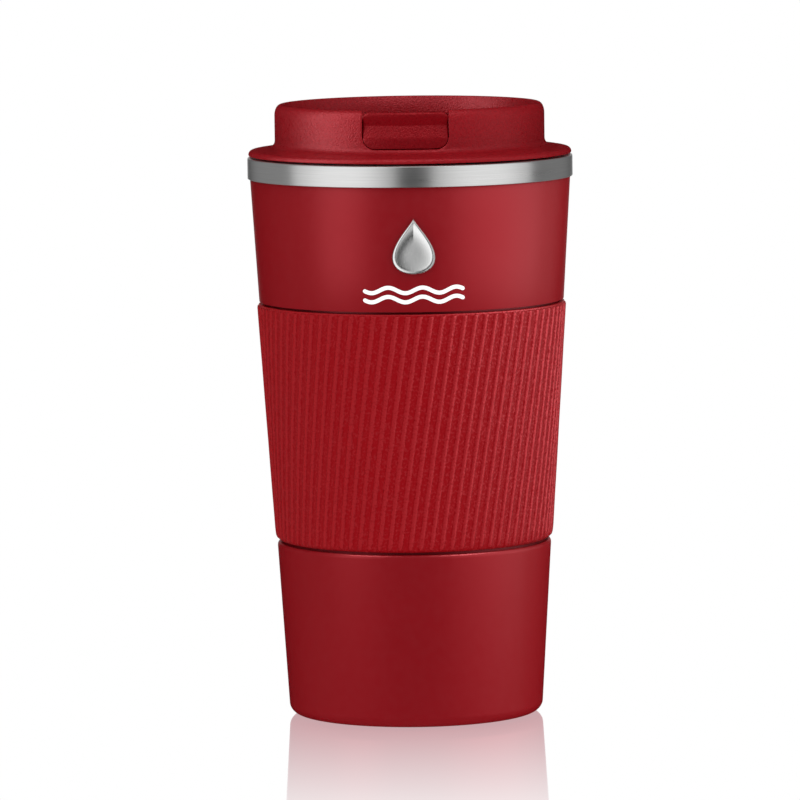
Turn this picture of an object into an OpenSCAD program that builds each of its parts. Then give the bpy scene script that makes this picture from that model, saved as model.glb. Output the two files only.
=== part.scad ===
/* [Body] */
// Radius that the painted cone would have at the standing plane
body_base_r = 35.1; // [33:0.1:37]
// Growth of the body's radius for each millimetre of height
body_taper = 0.0617; // [0.055:0.0001:0.068]
// Thickness of the outer and the inner steel sheet
sheet = 0.45; // [0.4:0.05:0.6]
// Radius of the rounded corner at the foot
foot_corner_r = 3; // [2:0.1:4]
// Distance from the painted face in to the drinking face of the liner
wall_total = 5.2; // [4.8:0.1:5.6]
// Height of the liner's floor above the standing plane
liner_floor_z = 8.8; // [8:0.1:10]

/* [Grip sleeve] */
// Bottom edge of the silicone sleeve
sleeve_z0 = 49.2; // [45:0.1:52]
// Top edge of the silicone sleeve
sleeve_z1 = 114.9; // [110:0.1:118]
// Depth of the waist that the sleeve sits in
waist_depth = 1; // [0.8:0.05:1.2]
// How far the sleeve stands proud of the paint at its bottom edge
sleeve_proud_low = 0.4; // [0.3:0.05:0.6]
// How far the sleeve stands proud of the paint at its top edge
sleeve_proud_high = 0.7; // [0.5:0.05:0.9]

/* [Mouth] */
// Radius of the brushed steel band round the mouth
band_r = 45; // [44.8:0.05:45.4]
// Bottom edge of the band
band_z0 = 149.6; // [149:0.1:150]
// Top of the band, which is the top of the cup
band_z1 = 155.5; // [155.3:0.05:155.7]
// Inside radius of the mouth
mouth_r = 41.3; // [41.2:0.05:41.4]

/* [Lid] */
// Underside of the lid's flange when the lid is closed
flange_z = 155.95; // [155.85:0.05:156.2]
// Radius of the lid's flange
flange_r = 44.7; // [44:0.1:44.9]
// Radius of the lid's upright wall
wall_r = 37.35; // [37:0.05:37.7]
// Top of the lid, which is the top of the mug
lid_top_z = 170; // [169.8:0.1:170.5]
// Top face of the sunken deck
deck_z = 163; // [162.8:0.1:163.2]
// Radius of the plug that goes into the mouth
core_r = 39.4; // [39.3:0.05:39.5]
// Underside of the plug
core_z0 = 143; // [142.8:0.1:143.4]

/* [Lid thread] */
// Rise of the lid for each full turn
thread_lead = 12; // [11:0.5:13]
// Number of equal ridges round the mouth
thread_starts = 3; // [3:1:3]
// Angle that each ridge covers
thread_sweep = 100; // [80:5:105]

/* [Flap] */
// Half of the flap's width
flap_half_w = 11.55; // [11:0.05:12]
// Gap between the flap and the lid, all round
flap_gap = 0.45; // [0.35:0.05:0.6]
// Bottom edge of the flap's front panel
flap_z0 = 159.6; // [159.55:0.05:160]
// Top face of the flap
flap_z1 = 169.6; // [169.4:0.05:169.7]
// Depth of the finger scoop in the flap's front
scoop_depth = 1.25; // [0.8:0.05:1.4]
// Distance of the hinge behind the mug's axis
hinge_y = 4; // [3:0.5:6]
// Height of the hinge pin
hinge_z = 165.1; // [165.05:0.05:165.2]
// Radius of the hinge pin
pin_r = 1; // [0.9:0.05:1.05]

/* [Drink hole and vent] */
// Width of the drink hole, end to end
drink_w = 14; // [12:0.5:14]
// Depth of the drink hole, front to back
drink_d = 6; // [5:0.5:6]
// Distance of the drink hole in front of the axis
drink_y = 24; // [23:0.5:24.5]
// Radius of the vent hole
vent_r = 1.2; // [1:0.1:1.4]
// Distance of the vent in front of the axis
vent_y = 10; // [9:0.5:11]

/* [Badge] */
// Height of the badge's centre
badge_z = 133.6; // [130:0.1:136]
// Height of the drop, tip to bottom
badge_h = 15.3; // [12:0.1:16]
// Width of the drop
badge_w = 11.6; // [9:0.1:13]
// Thickness of the badge's metal
badge_t = 1.2; // [0.8:0.1:1.5]
// Angle from the lid's closed front round to the badge
badge_turn = 2.75; // [0:0.05:5]

/* [Hidden] */
$fn = 96;

// Base of the cup
skirt_z = 0.4;
recess_r = 28;
recess_top_z = 4.6;
base_t = 0.8;
port_r = 0.6;
port_rise = 1.4;
cap_z0 = 2.4;
cap_t = 0.6;
cap_side_gap = 0.1;
pad_inner_r = 19;
pad_outer_r = 27.6;
getter_x = 14;
getter_r = 5.3;

// Waist and sleeve
shoulder_h = 1.8;
shoulder_in = 0.5;
waist_edge = 0.15;
waist_gap_low = 0.15;
waist_gap_high = 0.3;
waist_z0 = sleeve_z0 - waist_gap_low;
waist_z1 = sleeve_z1 + waist_gap_high;
waist_blend = 1.2;
sleeve_low_in = 0.85;
sleeve_low_h = 2.6;
sleeve_top_r = 0.5;

// Mouth
band_in_r = band_r - 0.7;
lip_z = band_z1 - 0.7;
band_edge = 0.6;
neck_z0 = 139;
neck_z1 = 141.8;
liner_corner_r = 5;
foil_gap = 0.15;
foil_t = 0.1;
foil_z0 = 16;
foil_z1 = 136;

// Lid
flange_edge_r = 1.2;
flange_edge_z = 156.25;
wall_foot_z = 160.1;
wall_foot_r = 2;
rim_w = 1.7;
rim_h = 3;
rim_inner_edge = 0.4;
rim_wall = 3.3;
deck_t = 2;
deck_fillet = 1;
cavity_r = 32.4;
spigot_gap = 0.1;
spigot_t = 2.1;
core_t = 2.2;
web_z0 = 154.2;
core_chamfer = 0.8;
core_floor_t = 2;
groove_z0 = 151.9;
groove_z1 = 154.1;
groove_r = 38.2;
gasket_gap = 0.1;
gasket_body_r = 40.3;
tube_wall = 1.4;
vent_boss_h = 1.2;
vent_boss_wall = 1.4;
pocket_floor_z = flap_z0 - 0.4;
pocket_r = 34.4;
pocket_corner_r = 3.4;
spout_wall_r = 32.2;
spout_wall_half_w = 13.6;
spout_wall_top_z = 166.6;
barrel_r = 1.95;
ear_t = 3;
ear_in_x = flap_half_w + flap_gap;

// Thread
ridge_height = 1.5;
ridge_sink = 0.35;
ridge_root_half = 1;
ridge_tip_half = 0.5;
cup_ridge_z = 147;
ridge_pair_gap = 1.7;
ridge_steps = 20;

// Flap
panel_inner_r = 34.8;
arm_z0 = 165.8;
arm_front_z0 = 167;
arm_front_z1 = 169.2;
arm_front_y = 36;
arm_step = [30, 29.2];
flap_low_corner_r = 3;
flap_top_corner_r = 1.6;
flap_lip_r = 0.8;
scoop_crease_z = 165.9;
scoop_low_z = 162.4;
scoop_high_z = 168.6;
skirt_w = 1.2;
skirt_z0 = 164.6;
skirt_front = 28.5;
skirt_back = 1;
pin_running_gap = 0.06;
seal_lift = 0.1;
plug_reach = 2;
plug_side_gap = 0.6;
seal_overlap = 1.6;
vent_pad_r = 3.2;

// Badge
adhesive_t = 0.15;
adhesive_inset = 0.9;
drop_power = 1.4;
drop_fill = 0.713;
far = 60;

paint_red = [0.50, 0.05, 0.08];
lid_red = [0.56, 0.07, 0.10];
silicone_red = [0.52, 0.06, 0.09];
steel = [0.75, 0.76, 0.77];
copper = [0.72, 0.43, 0.30];
charcoal = [0.16, 0.16, 0.17];
seal_grey = [0.62, 0.62, 0.63];

// Radius of the painted cone at height z
function body_r(z) = body_base_r + body_taper * z;

// Points along an arc in n steps
function arc(cx, cy, r, a0, a1, n = 10) =
    [for (i = [0:n]) let (a = a0 + (a1 - a0) * i / n) [cx + r * cos(a), cy + r * sin(a)]];

// Outline of a slot along x, w end to end and d wide
function slot(w, d) = concat(
    arc(w / 2 - d / 2, 0, d / 2, -90, 90, 16),
    arc(d / 2 - w / 2, 0, d / 2, 90, 270, 16)
);

// Outline of the drop badge, grown by e all round
function drop(e = 0) = [
    for (t = [0:7.5:352.5])
    [(badge_w / 2 + e) / drop_fill * sin(t) * pow(sin(t / 2), drop_power), (badge_h / 2 + e) * cos(t)]
];

// The lid's outside profile from its flange up to the foot of the rim's corner
function lid_outside() = concat(
    [[flange_r, flange_z]],
    arc(flange_r - flange_edge_r, flange_edge_z, flange_edge_r, 0, 81),
    arc(wall_r + wall_foot_r, wall_foot_z, wall_foot_r, 261, 180)
);

// Lifts an outline drawn in the YZ plane into a slab between two x values
module slab_x(x0, x1) {
    translate([x0, 0, 0]) rotate([90, 0, 90]) linear_extrude(x1 - x0) children();
}

// Lifts an outline drawn in the XZ plane into a slab between two y values
module slab_y(y0, y1) {
    translate([0, y1, 0]) rotate([90, 0, 0]) linear_extrude(y1 - y0) children();
}

// An upright front outline with its own radius at the top and at the bottom corners
module front_outline(half_w, z0, z1, low_r, top_r) {
    polygon(concat(
        arc(half_w - low_r, z0 + low_r, low_r, -90, 0),
        arc(half_w - top_r, z1 - top_r, top_r, 0, 90),
        arc(top_r - half_w, z1 - top_r, top_r, 90, 180),
        arc(low_r - half_w, z0 + low_r, low_r, 180, 270)
    ));
}

// One helical ridge between two radii, thread_sweep long
module ridge(r_in, half_in, r_out, half_out, z0) {
    section = [[r_in, -half_in], [r_out, -half_out], [r_out, half_out], [r_in, half_in]];
    n = len(section);
    turn = thread_sweep / ridge_steps;
    points = [
        for (i = [0:ridge_steps], p = section)
        [p[0] * cos(i * turn), p[0] * sin(i * turn), z0 + p[1] + thread_lead * i * turn / 360]
    ];
    sides = [
        for (i = [0:ridge_steps - 1], j = [0:n - 1])
        let (a = i * n + j, b = i * n + (j + 1) % n)
        each [[a, b + n, a + n], [a, b, b + n]]
    ];
    last = ridge_steps * n;
    ends = [[0, 2, 1], [0, 3, 2], [last, last + 1, last + 2], [last, last + 2, last + 3]];
    polyhedron(points = points, faces = concat(sides, ends));
}

// The same ridge once for each start
module ridges(r_in, half_in, r_out, half_out, z0) {
    for (s = [0:thread_starts - 1]) {
        rotate(s * 360 / thread_starts) ridge(r_in, half_in, r_out, half_out, z0);
    }
}

// Painted outer wall with its waist, rounded foot and the lip that carries the base plate
module outer_shell() {
    corner_z = skirt_z + foot_corner_r;
    corner_x = body_r(corner_z) - foot_corner_r;
    shoulder_z = waist_z0 - shoulder_h;
    shoulder = [
        for (a = [0:15:90])
        let (z = shoulder_z + shoulder_h * sin(a))
        [body_r(z) - shoulder_in * (1 - cos(a)), z]
    ];
    outside = concat(
        [[recess_r, recess_top_z], [recess_r, skirt_z]],
        arc(corner_x, corner_z, foot_corner_r, -90, 0, 12),
        shoulder,
        [
            [body_r(waist_z0) - waist_depth, waist_z0],
            [body_r(waist_z1) - waist_depth, waist_z1],
            [body_r(waist_z1) - waist_edge, waist_z1],
            [body_r(waist_z1), waist_z1 + waist_edge],
            [body_r(band_z0), band_z0],
            [band_in_r, band_z0],
            [band_in_r, lip_z]
        ]
    );
    inside = concat(
        [
            [band_in_r - sheet, lip_z],
            [band_in_r - sheet, band_z0],
            [body_r(waist_z1 + 2 * waist_blend) - sheet, waist_z1 + 2 * waist_blend],
            [body_r(waist_z1 + waist_blend) - waist_depth - sheet, waist_z1 + waist_blend],
            [body_r(waist_z0 - sheet) - waist_depth - sheet, waist_z0 - sheet],
            [body_r(shoulder_z - sheet) - sheet, shoulder_z - sheet]
        ],
        arc(corner_x, corner_z, foot_corner_r - sheet, 0, -90, 12),
        [[recess_r + sheet, skirt_z + sheet], [recess_r + sheet, recess_top_z]]
    );
    color(paint_red) rotate_extrude() polygon(concat(outside, inside));
}

// Steel cup that holds the drink, with the mouth's neck, weld flange and thread ridges
module inner_liner() {
    corner_z = liner_floor_z + liner_corner_r;
    corner_x = body_r(corner_z) - wall_total - liner_corner_r;
    neck_r = body_r(neck_z0) - wall_total;
    profile = concat(
        [[0, liner_floor_z - sheet], [0, liner_floor_z]],
        arc(corner_x, corner_z, liner_corner_r, -90, 0, 12),
        [
            [neck_r, neck_z0],
            [mouth_r, neck_z1],
            [mouth_r, lip_z],
            [band_in_r - sheet, lip_z],
            [band_in_r - sheet, lip_z - sheet],
            [mouth_r + sheet, lip_z - sheet],
            [mouth_r + sheet, neck_z1 - sheet / 2],
            [neck_r + sheet, neck_z0 - sheet / 2]
        ],
        arc(corner_x, corner_z, liner_corner_r + sheet, 0, -90, 12)
    );
    color(steel) {
        rotate_extrude() polygon(profile);
        ridges(mouth_r - ridge_height, ridge_tip_half, mouth_r + ridge_sink, ridge_root_half, cup_ridge_z);
    }
}

// Brushed ring that caps the weld between the two shells
module rim_band() {
    color(steel) rotate_extrude() polygon(concat(
        [[band_in_r, band_z0], [band_r - waist_edge, band_z0], [band_r, band_z0 + waist_edge]],
        arc(band_r - band_edge, band_z1 - band_edge, band_edge, 0, 90, 6),
        arc(mouth_r + band_edge, band_z1 - band_edge, band_edge, 90, 180, 6),
        [[mouth_r, lip_z], [band_in_r, lip_z]]
    ));
}

// Heat reflecting foil wrapped round the liner inside the vacuum
module copper_foil() {
    inset = wall_total - sheet - foil_gap;
    color(copper) difference() {
        translate([0, 0, foil_z0]) cylinder(
            h = foil_z1 - foil_z0,
            r1 = body_r(foil_z0) - inset + foil_t,
            r2 = body_r(foil_z1) - inset + foil_t
        );
        translate([0, 0, foil_z0 - 1]) cylinder(
            h = foil_z1 - foil_z0 + 2,
            r1 = body_r(foil_z0 - 1) - inset,
            r2 = body_r(foil_z1 + 1) - inset
        );
    }
}

// Welded floor of the outer shell, raised in the middle round the pump-out port
module base_plate() {
    under = recess_top_z - base_t;
    color(steel) rotate_extrude() polygon([
        [port_r, under + port_rise],
        [4.4, under + port_rise],
        [5.6, under],
        [recess_r, under],
        [recess_r, recess_top_z],
        [6.2, recess_top_z],
        [5, recess_top_z + port_rise],
        [port_r, recess_top_z + port_rise]
    ]);
}

// Solder bead that closes the pump-out port
module vacuum_seal() {
    seat = recess_top_z - base_t + port_rise;
    stem_r = port_r - 0.05;
    color(seal_grey) rotate_extrude() polygon(concat(
        [[0, seat + base_t - 0.1], [0, seat - 0.7]],
        arc(2, seat, 0.7, -90, 0, 4),
        [[stem_r, seat], [stem_r, seat + base_t - 0.1]]
    ));
}

// Tray that holds the getter on the base plate
module getter_clip() {
    tray_wall = 0.4;
    color(steel) translate([getter_x, 0, recess_top_z]) difference() {
        cylinder(h = 1.6, r = getter_r + 2 * tray_wall - 0.3);
        translate([0, 0, tray_wall]) cylinder(h = 2, r = getter_r + 0.1);
    }
}

// Pellet that soaks up gas left in the vacuum
module getter() {
    color(charcoal) translate([getter_x, 0, recess_top_z + 0.4]) cylinder(h = 1.4, r = getter_r);
}

// Pressed steel cap that hides the base plate
module base_cap() {
    cap_r = recess_r - cap_side_gap;
    color(steel) rotate_extrude() polygon([
        [0, cap_z0],
        [cap_r, cap_z0],
        [cap_r, recess_top_z - base_t],
        [cap_r - cap_t, recess_top_z - base_t],
        [cap_r - cap_t, cap_z0 + cap_t],
        [0, cap_z0 + cap_t]
    ]);
}

// Non-slip ring that the mug stands on
module foot_pad() {
    edge = 0.6;
    color(charcoal) rotate_extrude() polygon(concat(
        arc(pad_outer_r - edge, edge, edge, -90, 0, 5),
        [[pad_outer_r, cap_z0], [pad_inner_r, cap_z0]],
        arc(pad_inner_r + edge, edge, edge, 180, 270, 5)
    ));
}

// Soft silicone band stretched into the waist
module grip_sleeve() {
    low_r = body_r(sleeve_z0) + sleeve_proud_low;
    high_r = body_r(sleeve_z1) + sleeve_proud_high;
    full_z = sleeve_z0 + sleeve_low_h;
    full_r = low_r + body_taper * sleeve_low_h;
    low_edge = [
        for (a = [0:15:90])
        [full_r - sleeve_low_in * (1 - sin(a)), full_z - sleeve_low_h * cos(a)]
    ];
    color(silicone_red) rotate_extrude() polygon(concat(
        [[body_r(sleeve_z0) - waist_depth, sleeve_z0]],
        low_edge,
        arc(high_r - sleeve_top_r, sleeve_z1 - sleeve_top_r, sleeve_top_r, 0, 90, 5),
        [[body_r(sleeve_z1) - waist_depth, sleeve_z1]]
    ));
}

// A layer on the painted cone behind the badge, between two heights above the paint
module badge_layer(lift, t) {
    z0 = badge_z - badge_h;
    z1 = badge_z + badge_h;
    difference() {
        translate([0, 0, z0]) cylinder(h = z1 - z0, r1 = body_r(z0) + lift + t, r2 = body_r(z1) + lift + t);
        translate([0, 0, z0 - 1]) cylinder(h = z1 - z0 + 2, r1 = body_r(z0 - 1) + lift, r2 = body_r(z1 + 1) + lift);
    }
}

// Plain drop-shaped metal badge
module badge() {
    color(steel) rotate(badge_turn) intersection() {
        badge_layer(adhesive_t, badge_t);
        slab_y(-far, 0) translate([0, badge_z]) polygon(drop());
    }
}

// Double-sided pad that holds the badge
module badge_adhesive() {
    color(charcoal) rotate(badge_turn) intersection() {
        badge_layer(0, adhesive_t);
        slab_y(-far, 0) translate([0, badge_z]) polygon(drop(-adhesive_inset));
    }
}

// Silicone ring with two lips that seals the plug in the mouth
module plug_gasket() {
    lip_r = mouth_r - gasket_gap;
    z0 = groove_z0 + gasket_gap;
    z1 = groove_z1 - gasket_gap;
    color(seal_grey) rotate_extrude() polygon([
        [groove_r + gasket_gap, z0],
        [gasket_body_r, z0],
        [lip_r, z0 + 0.2],
        [lip_r, z0 + 0.6],
        [gasket_body_r, z0 + 0.9],
        [gasket_body_r, z1 - 0.9],
        [lip_r, z1 - 0.6],
        [lip_r, z1 - 0.2],
        [gasket_body_r, z1],
        [groove_r + gasket_gap, z1]
    ]);
}

// Turned form of the lid: flange, wall, rounded rim, sunken deck and the seat for the plug
module lid_turned() {
    rim_x = wall_r - rim_w;
    inner_r = wall_r - rim_wall;
    rotate_extrude() polygon(concat(
        [[cavity_r, flange_z]],
        lid_outside(),
        [for (a = [0:7.5:90]) [rim_x + rim_w * cos(a), lid_top_z - rim_h + rim_h * sin(a)]],
        arc(rim_x, lid_top_z - rim_inner_edge, rim_inner_edge, 90, 156, 5),
        [[inner_r, spout_wall_top_z]],
        arc(inner_r - deck_fillet, deck_z + deck_fillet, deck_fillet, 0, -90, 5),
        [[0, deck_z], [0, deck_z - deck_t], [cavity_r, deck_z - deck_t]]
    ));
}

// Low wall behind the flap that the drinker's lip meets
module spout_wall() {
    intersection() {
        translate([-spout_wall_half_w, -far, deck_z - 0.2])
            cube([2 * spout_wall_half_w, far, spout_wall_top_z - deck_z + 0.2]);
        translate([0, 0, deck_z - 1]) difference() {
            cylinder(h = 8, r = pocket_r + 0.6);
            translate([0, 0, -1]) cylinder(h = 10, r = spout_wall_r);
        }
    }
}

// One upright ear for the hinge pin
module hinge_ear() {
    slab_x(ear_in_x, ear_in_x + ear_t) polygon(concat(
        [[hinge_y + barrel_r, deck_z - 0.2]],
        arc(hinge_y, hinge_z, barrel_r, 0, 180, 24),
        [[hinge_y - barrel_r, deck_z - 0.2]]
    ));
}

// Cylinder along x through the hinge
module hinge_bar(r, half_l) {
    translate([-half_l, hinge_y, hinge_z]) rotate([0, 90, 0]) cylinder(h = 2 * half_l, r = r);
}

// Outer moulding of the lid
module lid_shell() {
    notch_half_w = flap_half_w + flap_gap;
    color(lid_red) difference() {
        union() {
            lid_turned();
            spout_wall();
            hinge_ear();
            mirror([1, 0, 0]) hinge_ear();
            translate([0, -vent_y, deck_z - 0.2]) cylinder(h = vent_boss_h + 0.2, r = vent_r + vent_boss_wall);
        }
        difference() {
            slab_y(-far, -30) front_outline(notch_half_w, pocket_floor_z, far * 3, pocket_corner_r, 1);
            translate([0, 0, pocket_floor_z - 1]) cylinder(h = 20, r = pocket_r);
        }
        translate([-notch_half_w, -far, spout_wall_top_z]) cube([2 * notch_half_w, far - 30, 10]);
        translate([0, -drink_y, deck_z - deck_t - 1]) linear_extrude(deck_t + 2) polygon(slot(drink_w, drink_d));
        translate([0, -vent_y, deck_z - deck_t - 1]) cylinder(h = deck_t + vent_boss_h + 2, r = vent_r);
        hinge_bar(pin_r, ear_in_x + ear_t + 1);
    }
}

// Threaded ring of the plug, with the groove for its gasket
module lid_core() {
    spigot_r = cavity_r - spigot_gap;
    color(charcoal) {
        rotate_extrude() polygon([
            [core_r - core_t, core_z0],
            [core_r - core_chamfer, core_z0],
            [core_r, core_z0 + core_chamfer],
            [core_r, groove_z0],
            [groove_r, groove_z0],
            [groove_r, groove_z1],
            [core_r, groove_z1],
            [core_r, flange_z],
            [spigot_r, flange_z],
            [spigot_r, deck_z - deck_t],
            [spigot_r - spigot_t, deck_z - deck_t],
            [spigot_r - spigot_t, web_z0],
            [core_r - core_t, web_z0]
        ]);
        ridges(
            core_r - ridge_sink, ridge_root_half, core_r + ridge_height, ridge_tip_half,
            cup_ridge_z - ridge_pair_gap
        );
    }
}

// Floor of the plug with the drink tube and the vent tube
module core_base() {
    tube_h = deck_z - deck_t - core_z0;
    color(charcoal) translate([0, 0, core_z0]) difference() {
        union() {
            cylinder(h = core_floor_t, r = core_r - core_t);
            translate([0, -drink_y, 0]) linear_extrude(tube_h)
                polygon(slot(drink_w + 2 * tube_wall, drink_d + 2 * tube_wall));
            translate([0, -vent_y, 0]) cylinder(h = tube_h, r = vent_r + tube_wall);
        }
        translate([0, -drink_y, -1]) linear_extrude(tube_h + 2) polygon(slot(drink_w, drink_d));
        translate([0, -vent_y, -1]) cylinder(h = tube_h + 2, r = vent_r);
    }
}

// Steel pin pressed into the ears
module hinge_pin() {
    color(steel) hinge_bar(pin_r, ear_in_x + ear_t);
}

// Turned form that trims the flap flush with the lid and cuts its finger scoop
module flap_turned() {
    foot = arc(wall_r + wall_foot_r, wall_foot_z, wall_foot_r, 220, 180);
    rotate_extrude() polygon(concat(
        [[0, flap_z0 - 1], [foot[0][0], flap_z0 - 1]],
        foot,
        [
            [wall_r, scoop_low_z],
            [wall_r - scoop_depth, scoop_crease_z],
            [wall_r, scoop_high_z]
        ],
        arc(wall_r - flap_lip_r, flap_z1 - flap_lip_r, flap_lip_r, 0, 90, 6),
        [[0, flap_z1]]
    ));
}

// Side view of the flap's arm, which steps up over the drinking wall, and its hinge barrel
module flap_side() {
    low_turn = asin((arm_z0 - hinge_z) / barrel_r);
    top_slope = atan((arm_front_z1 - hinge_z - barrel_r) / (arm_front_y + hinge_y));
    polygon(concat(
        [[-arm_front_y, arm_front_z1], [-arm_front_y, arm_front_z0], [-arm_step[0], arm_front_z0]],
        [[-arm_step[1], arm_z0]],
        arc(hinge_y, hinge_z, barrel_r, 180 - low_turn, 450 - top_slope, 32)
    ));
}

// Flip-up cover with its front panel, arm and hinge barrel
module flap() {
    skirt_l = skirt_front + skirt_back;
    color(lid_red) difference() {
        intersection() {
            slab_y(-far, hinge_y + 10)
                front_outline(flap_half_w, flap_z0, flap_z1, flap_low_corner_r, flap_top_corner_r);
            flap_turned();
            union() {
                slab_x(-flap_half_w - 1, flap_half_w + 1) flap_side();
                translate([0, 0, flap_z0 - 1]) difference() {
                    cylinder(h = 20, r = wall_r + 3);
                    translate([0, 0, -1]) cylinder(h = 22, r = panel_inner_r);
                }
                for (x = [-flap_half_w - 1, flap_half_w - skirt_w]) {
                    translate([x, -skirt_front, skirt_z0]) cube([skirt_w + 1, skirt_l, arm_z0 - skirt_z0 + 0.2]);
                }
            }
        }
        hinge_bar(pin_r + pin_running_gap, flap_half_w + 1);
    }
}

// Silicone bung under the flap that closes the drink hole
module spout_plug() {
    seat = deck_z + seal_lift;
    slack = 2 * plug_side_gap;
    color(seal_grey) translate([0, -drink_y, 0]) union() {
        translate([0, 0, seat]) linear_extrude(arm_z0 - seat)
            polygon(slot(drink_w + 2 * seal_overlap, drink_d + 2 * seal_overlap));
        translate([0, 0, deck_z - plug_reach]) linear_extrude(plug_reach + 1)
            polygon(slot(drink_w - slack, drink_d - slack));
    }
}

// Silicone pad under the flap that closes the vent
module vent_plug() {
    seat = deck_z + vent_boss_h + seal_lift;
    color(seal_grey) translate([0, -vent_y, seat]) cylinder(h = arm_z0 - seat, r = vent_pad_r);
}

outer_shell();
inner_liner();
rim_band();
copper_foil();
base_plate();
vacuum_seal();
getter();
getter_clip();
base_cap();
foot_pad();
grip_sleeve();
badge();
badge_adhesive();
plug_gasket();
lid_shell();
lid_core();
core_base();
hinge_pin();
flap();
spout_plug();
vent_plug();
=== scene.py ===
from math import acos, asin, atan2, cos, degrees, hypot, pi, radians, sin, sqrt, tan

import bmesh
import bpy
from mathutils import Matrix, Vector


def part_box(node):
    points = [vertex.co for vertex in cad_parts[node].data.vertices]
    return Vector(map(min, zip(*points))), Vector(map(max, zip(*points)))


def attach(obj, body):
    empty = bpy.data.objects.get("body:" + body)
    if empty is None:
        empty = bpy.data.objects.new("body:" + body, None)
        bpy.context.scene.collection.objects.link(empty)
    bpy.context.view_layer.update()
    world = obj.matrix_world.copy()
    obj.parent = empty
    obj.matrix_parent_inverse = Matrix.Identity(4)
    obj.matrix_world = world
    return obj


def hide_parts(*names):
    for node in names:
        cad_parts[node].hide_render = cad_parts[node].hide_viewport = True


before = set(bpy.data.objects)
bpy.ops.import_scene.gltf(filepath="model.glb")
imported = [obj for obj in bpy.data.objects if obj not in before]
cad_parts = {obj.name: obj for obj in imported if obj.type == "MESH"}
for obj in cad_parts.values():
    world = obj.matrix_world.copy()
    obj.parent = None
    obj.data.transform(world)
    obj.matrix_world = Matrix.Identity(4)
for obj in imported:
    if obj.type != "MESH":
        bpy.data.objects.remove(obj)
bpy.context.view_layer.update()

# ---------------------------------------------------------------- driving sizes, in millimetres
MM = 0.001


def span(node):
    """Lowest and highest corner of a CAD node, in millimetres."""
    low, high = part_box(node)
    return low / MM, high / MM


SLEEVE_LOW, SLEEVE_HIGH = span("grip_sleeve")
BAND_LOW, BAND_HIGH = span("rim_band")
LID_LOW, LID_HIGH = span("lid_shell")
FLAP_LOW, FLAP_HIGH = span("flap")
CORE_LOW, CORE_HIGH = span("lid_core")
GASKET_LOW, GASKET_HIGH = span("plug_gasket")
PAD_HIGH = span("foot_pad")[1]
CAP_LOW, CAP_HIGH = span("base_cap")
PLUG_LOW, PLUG_HIGH = span("spout_plug")
VENT_LOW, VENT_HIGH = span("vent_plug")
BADGE_LOW, BADGE_HIGH = span("badge")
PIN_LOW, PIN_HIGH = span("hinge_pin")

BODY_BASE_R = 35.1       # the painted cone's radius at the floor
BODY_TAPER = 0.0617      # and its growth for each millimetre of height
SHEET = 0.45             # thickness of the steel
WALL_TOTAL = 5.2         # from the paint in to the drinking face
SKIRT_Z = 0.4            # lowest point of the painted foot
RECESS_R = 28.0          # recess under the base
RECESS_TOP = 4.6
FOOT_CORNER = 3.0

RIB_COUNT = 84
RIB_LEAN = 0.205         # degrees round the axis for each millimetre of height
RIB_HEIGHT = 0.44
RIB_HALF = 0.245         # half of a rib's width, in pitches
RIB_MARGIN_TOP = 0.5
RIB_MARGIN_LOW = 0.45
RIB_END = 0.5
SLEEVE_LOW_R = BODY_BASE_R + BODY_TAPER * SLEEVE_LOW.z + 0.4
SLEEVE_TAPER = BODY_TAPER + 0.3 / (SLEEVE_HIGH.z - SLEEVE_LOW.z)

BAND_R = BAND_HIGH.x
BAND_IN_R = BAND_R - 0.7
MOUTH_R = 41.3
LIP_Z = BAND_HIGH.z - 0.7

WALL_R = 37.35           # upright wall of the lid
FLANGE_R = LID_HIGH.x
FLANGE_Z = LID_LOW.z
LID_TOP = LID_HIGH.z
DECK_Z = 163.0
DECK_T = 2.0
CAVITY_R = 32.4
RIM_W = 1.7              # the rim leans in by this much over its height
RIM_H = 3.0
RIM_INNER_EDGE = 0.4
RIM_WALL = 3.3
LID_FOOT_Z = 160.1       # where the wall's foot starts to flare
LID_FOOT_R = 2.0

FLAP_HALF_W = FLAP_HIGH.x
FLAP_TOP = FLAP_HIGH.z
FLAP_BOTTOM = FLAP_LOW.z
FLAP_GAP = 0.2
NOTCH_HALF_W = FLAP_HALF_W + FLAP_GAP    # the pocket in the lid's wall, where the flap's front goes
POCKET_FLOOR = FLAP_BOTTOM - 0.2
POCKET_R = 34.4
POCKET_CORNER = 3.4
POCKET_SIDE_FLOOR = POCKET_FLOOR + POCKET_CORNER    # height at which the pocket's rounded corners begin
SPOUT_R = 32.2           # inner face of the drinking wall
SPOUT_TOP = 166.6
HINGE_Y = (PIN_LOW.y + PIN_HIGH.y) / 2
HINGE_Z = (PIN_LOW.z + PIN_HIGH.z) / 2
PIN_HALF_L = PIN_HIGH.x
PIN_R = (PIN_HIGH.z - PIN_LOW.z) / 2
BARREL_R = FLAP_HIGH.y - HINGE_Y
ARM_UNDER = PLUG_HIGH.z

DRINK_Y = (PLUG_LOW.y + PLUG_HIGH.y) / 2
DRINK_W, DRINK_D = 14.0, 6.0
VENT_Y = (VENT_LOW.y + VENT_HIGH.y) / 2
VENT_R = 1.2

CORE_R = 39.4
THREAD_LEAD = 12.0
THREAD_STARTS = 3
THREAD_SWEEP = 100

BADGE_TURN = 2.75        # degrees from the lid's closed front round to the badge
PRINT_Z = 120.3          # middle of the printed waves


def body_r(z):
    """Radius of the painted cone at height z."""
    return BODY_BASE_R + BODY_TAPER * z


# ---------------------------------------------------------------- mesh helpers
def polar(r, angle, z):
    """Point at a radius and an angle, counted from the front (-Y) towards +X."""
    return (r * sin(angle), -r * cos(angle), z)


def on_front(x, r, z):
    """Point at x on the front half of a cylinder of radius r round the axis."""
    return (x, -sqrt(r * r - x * x), z)


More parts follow.
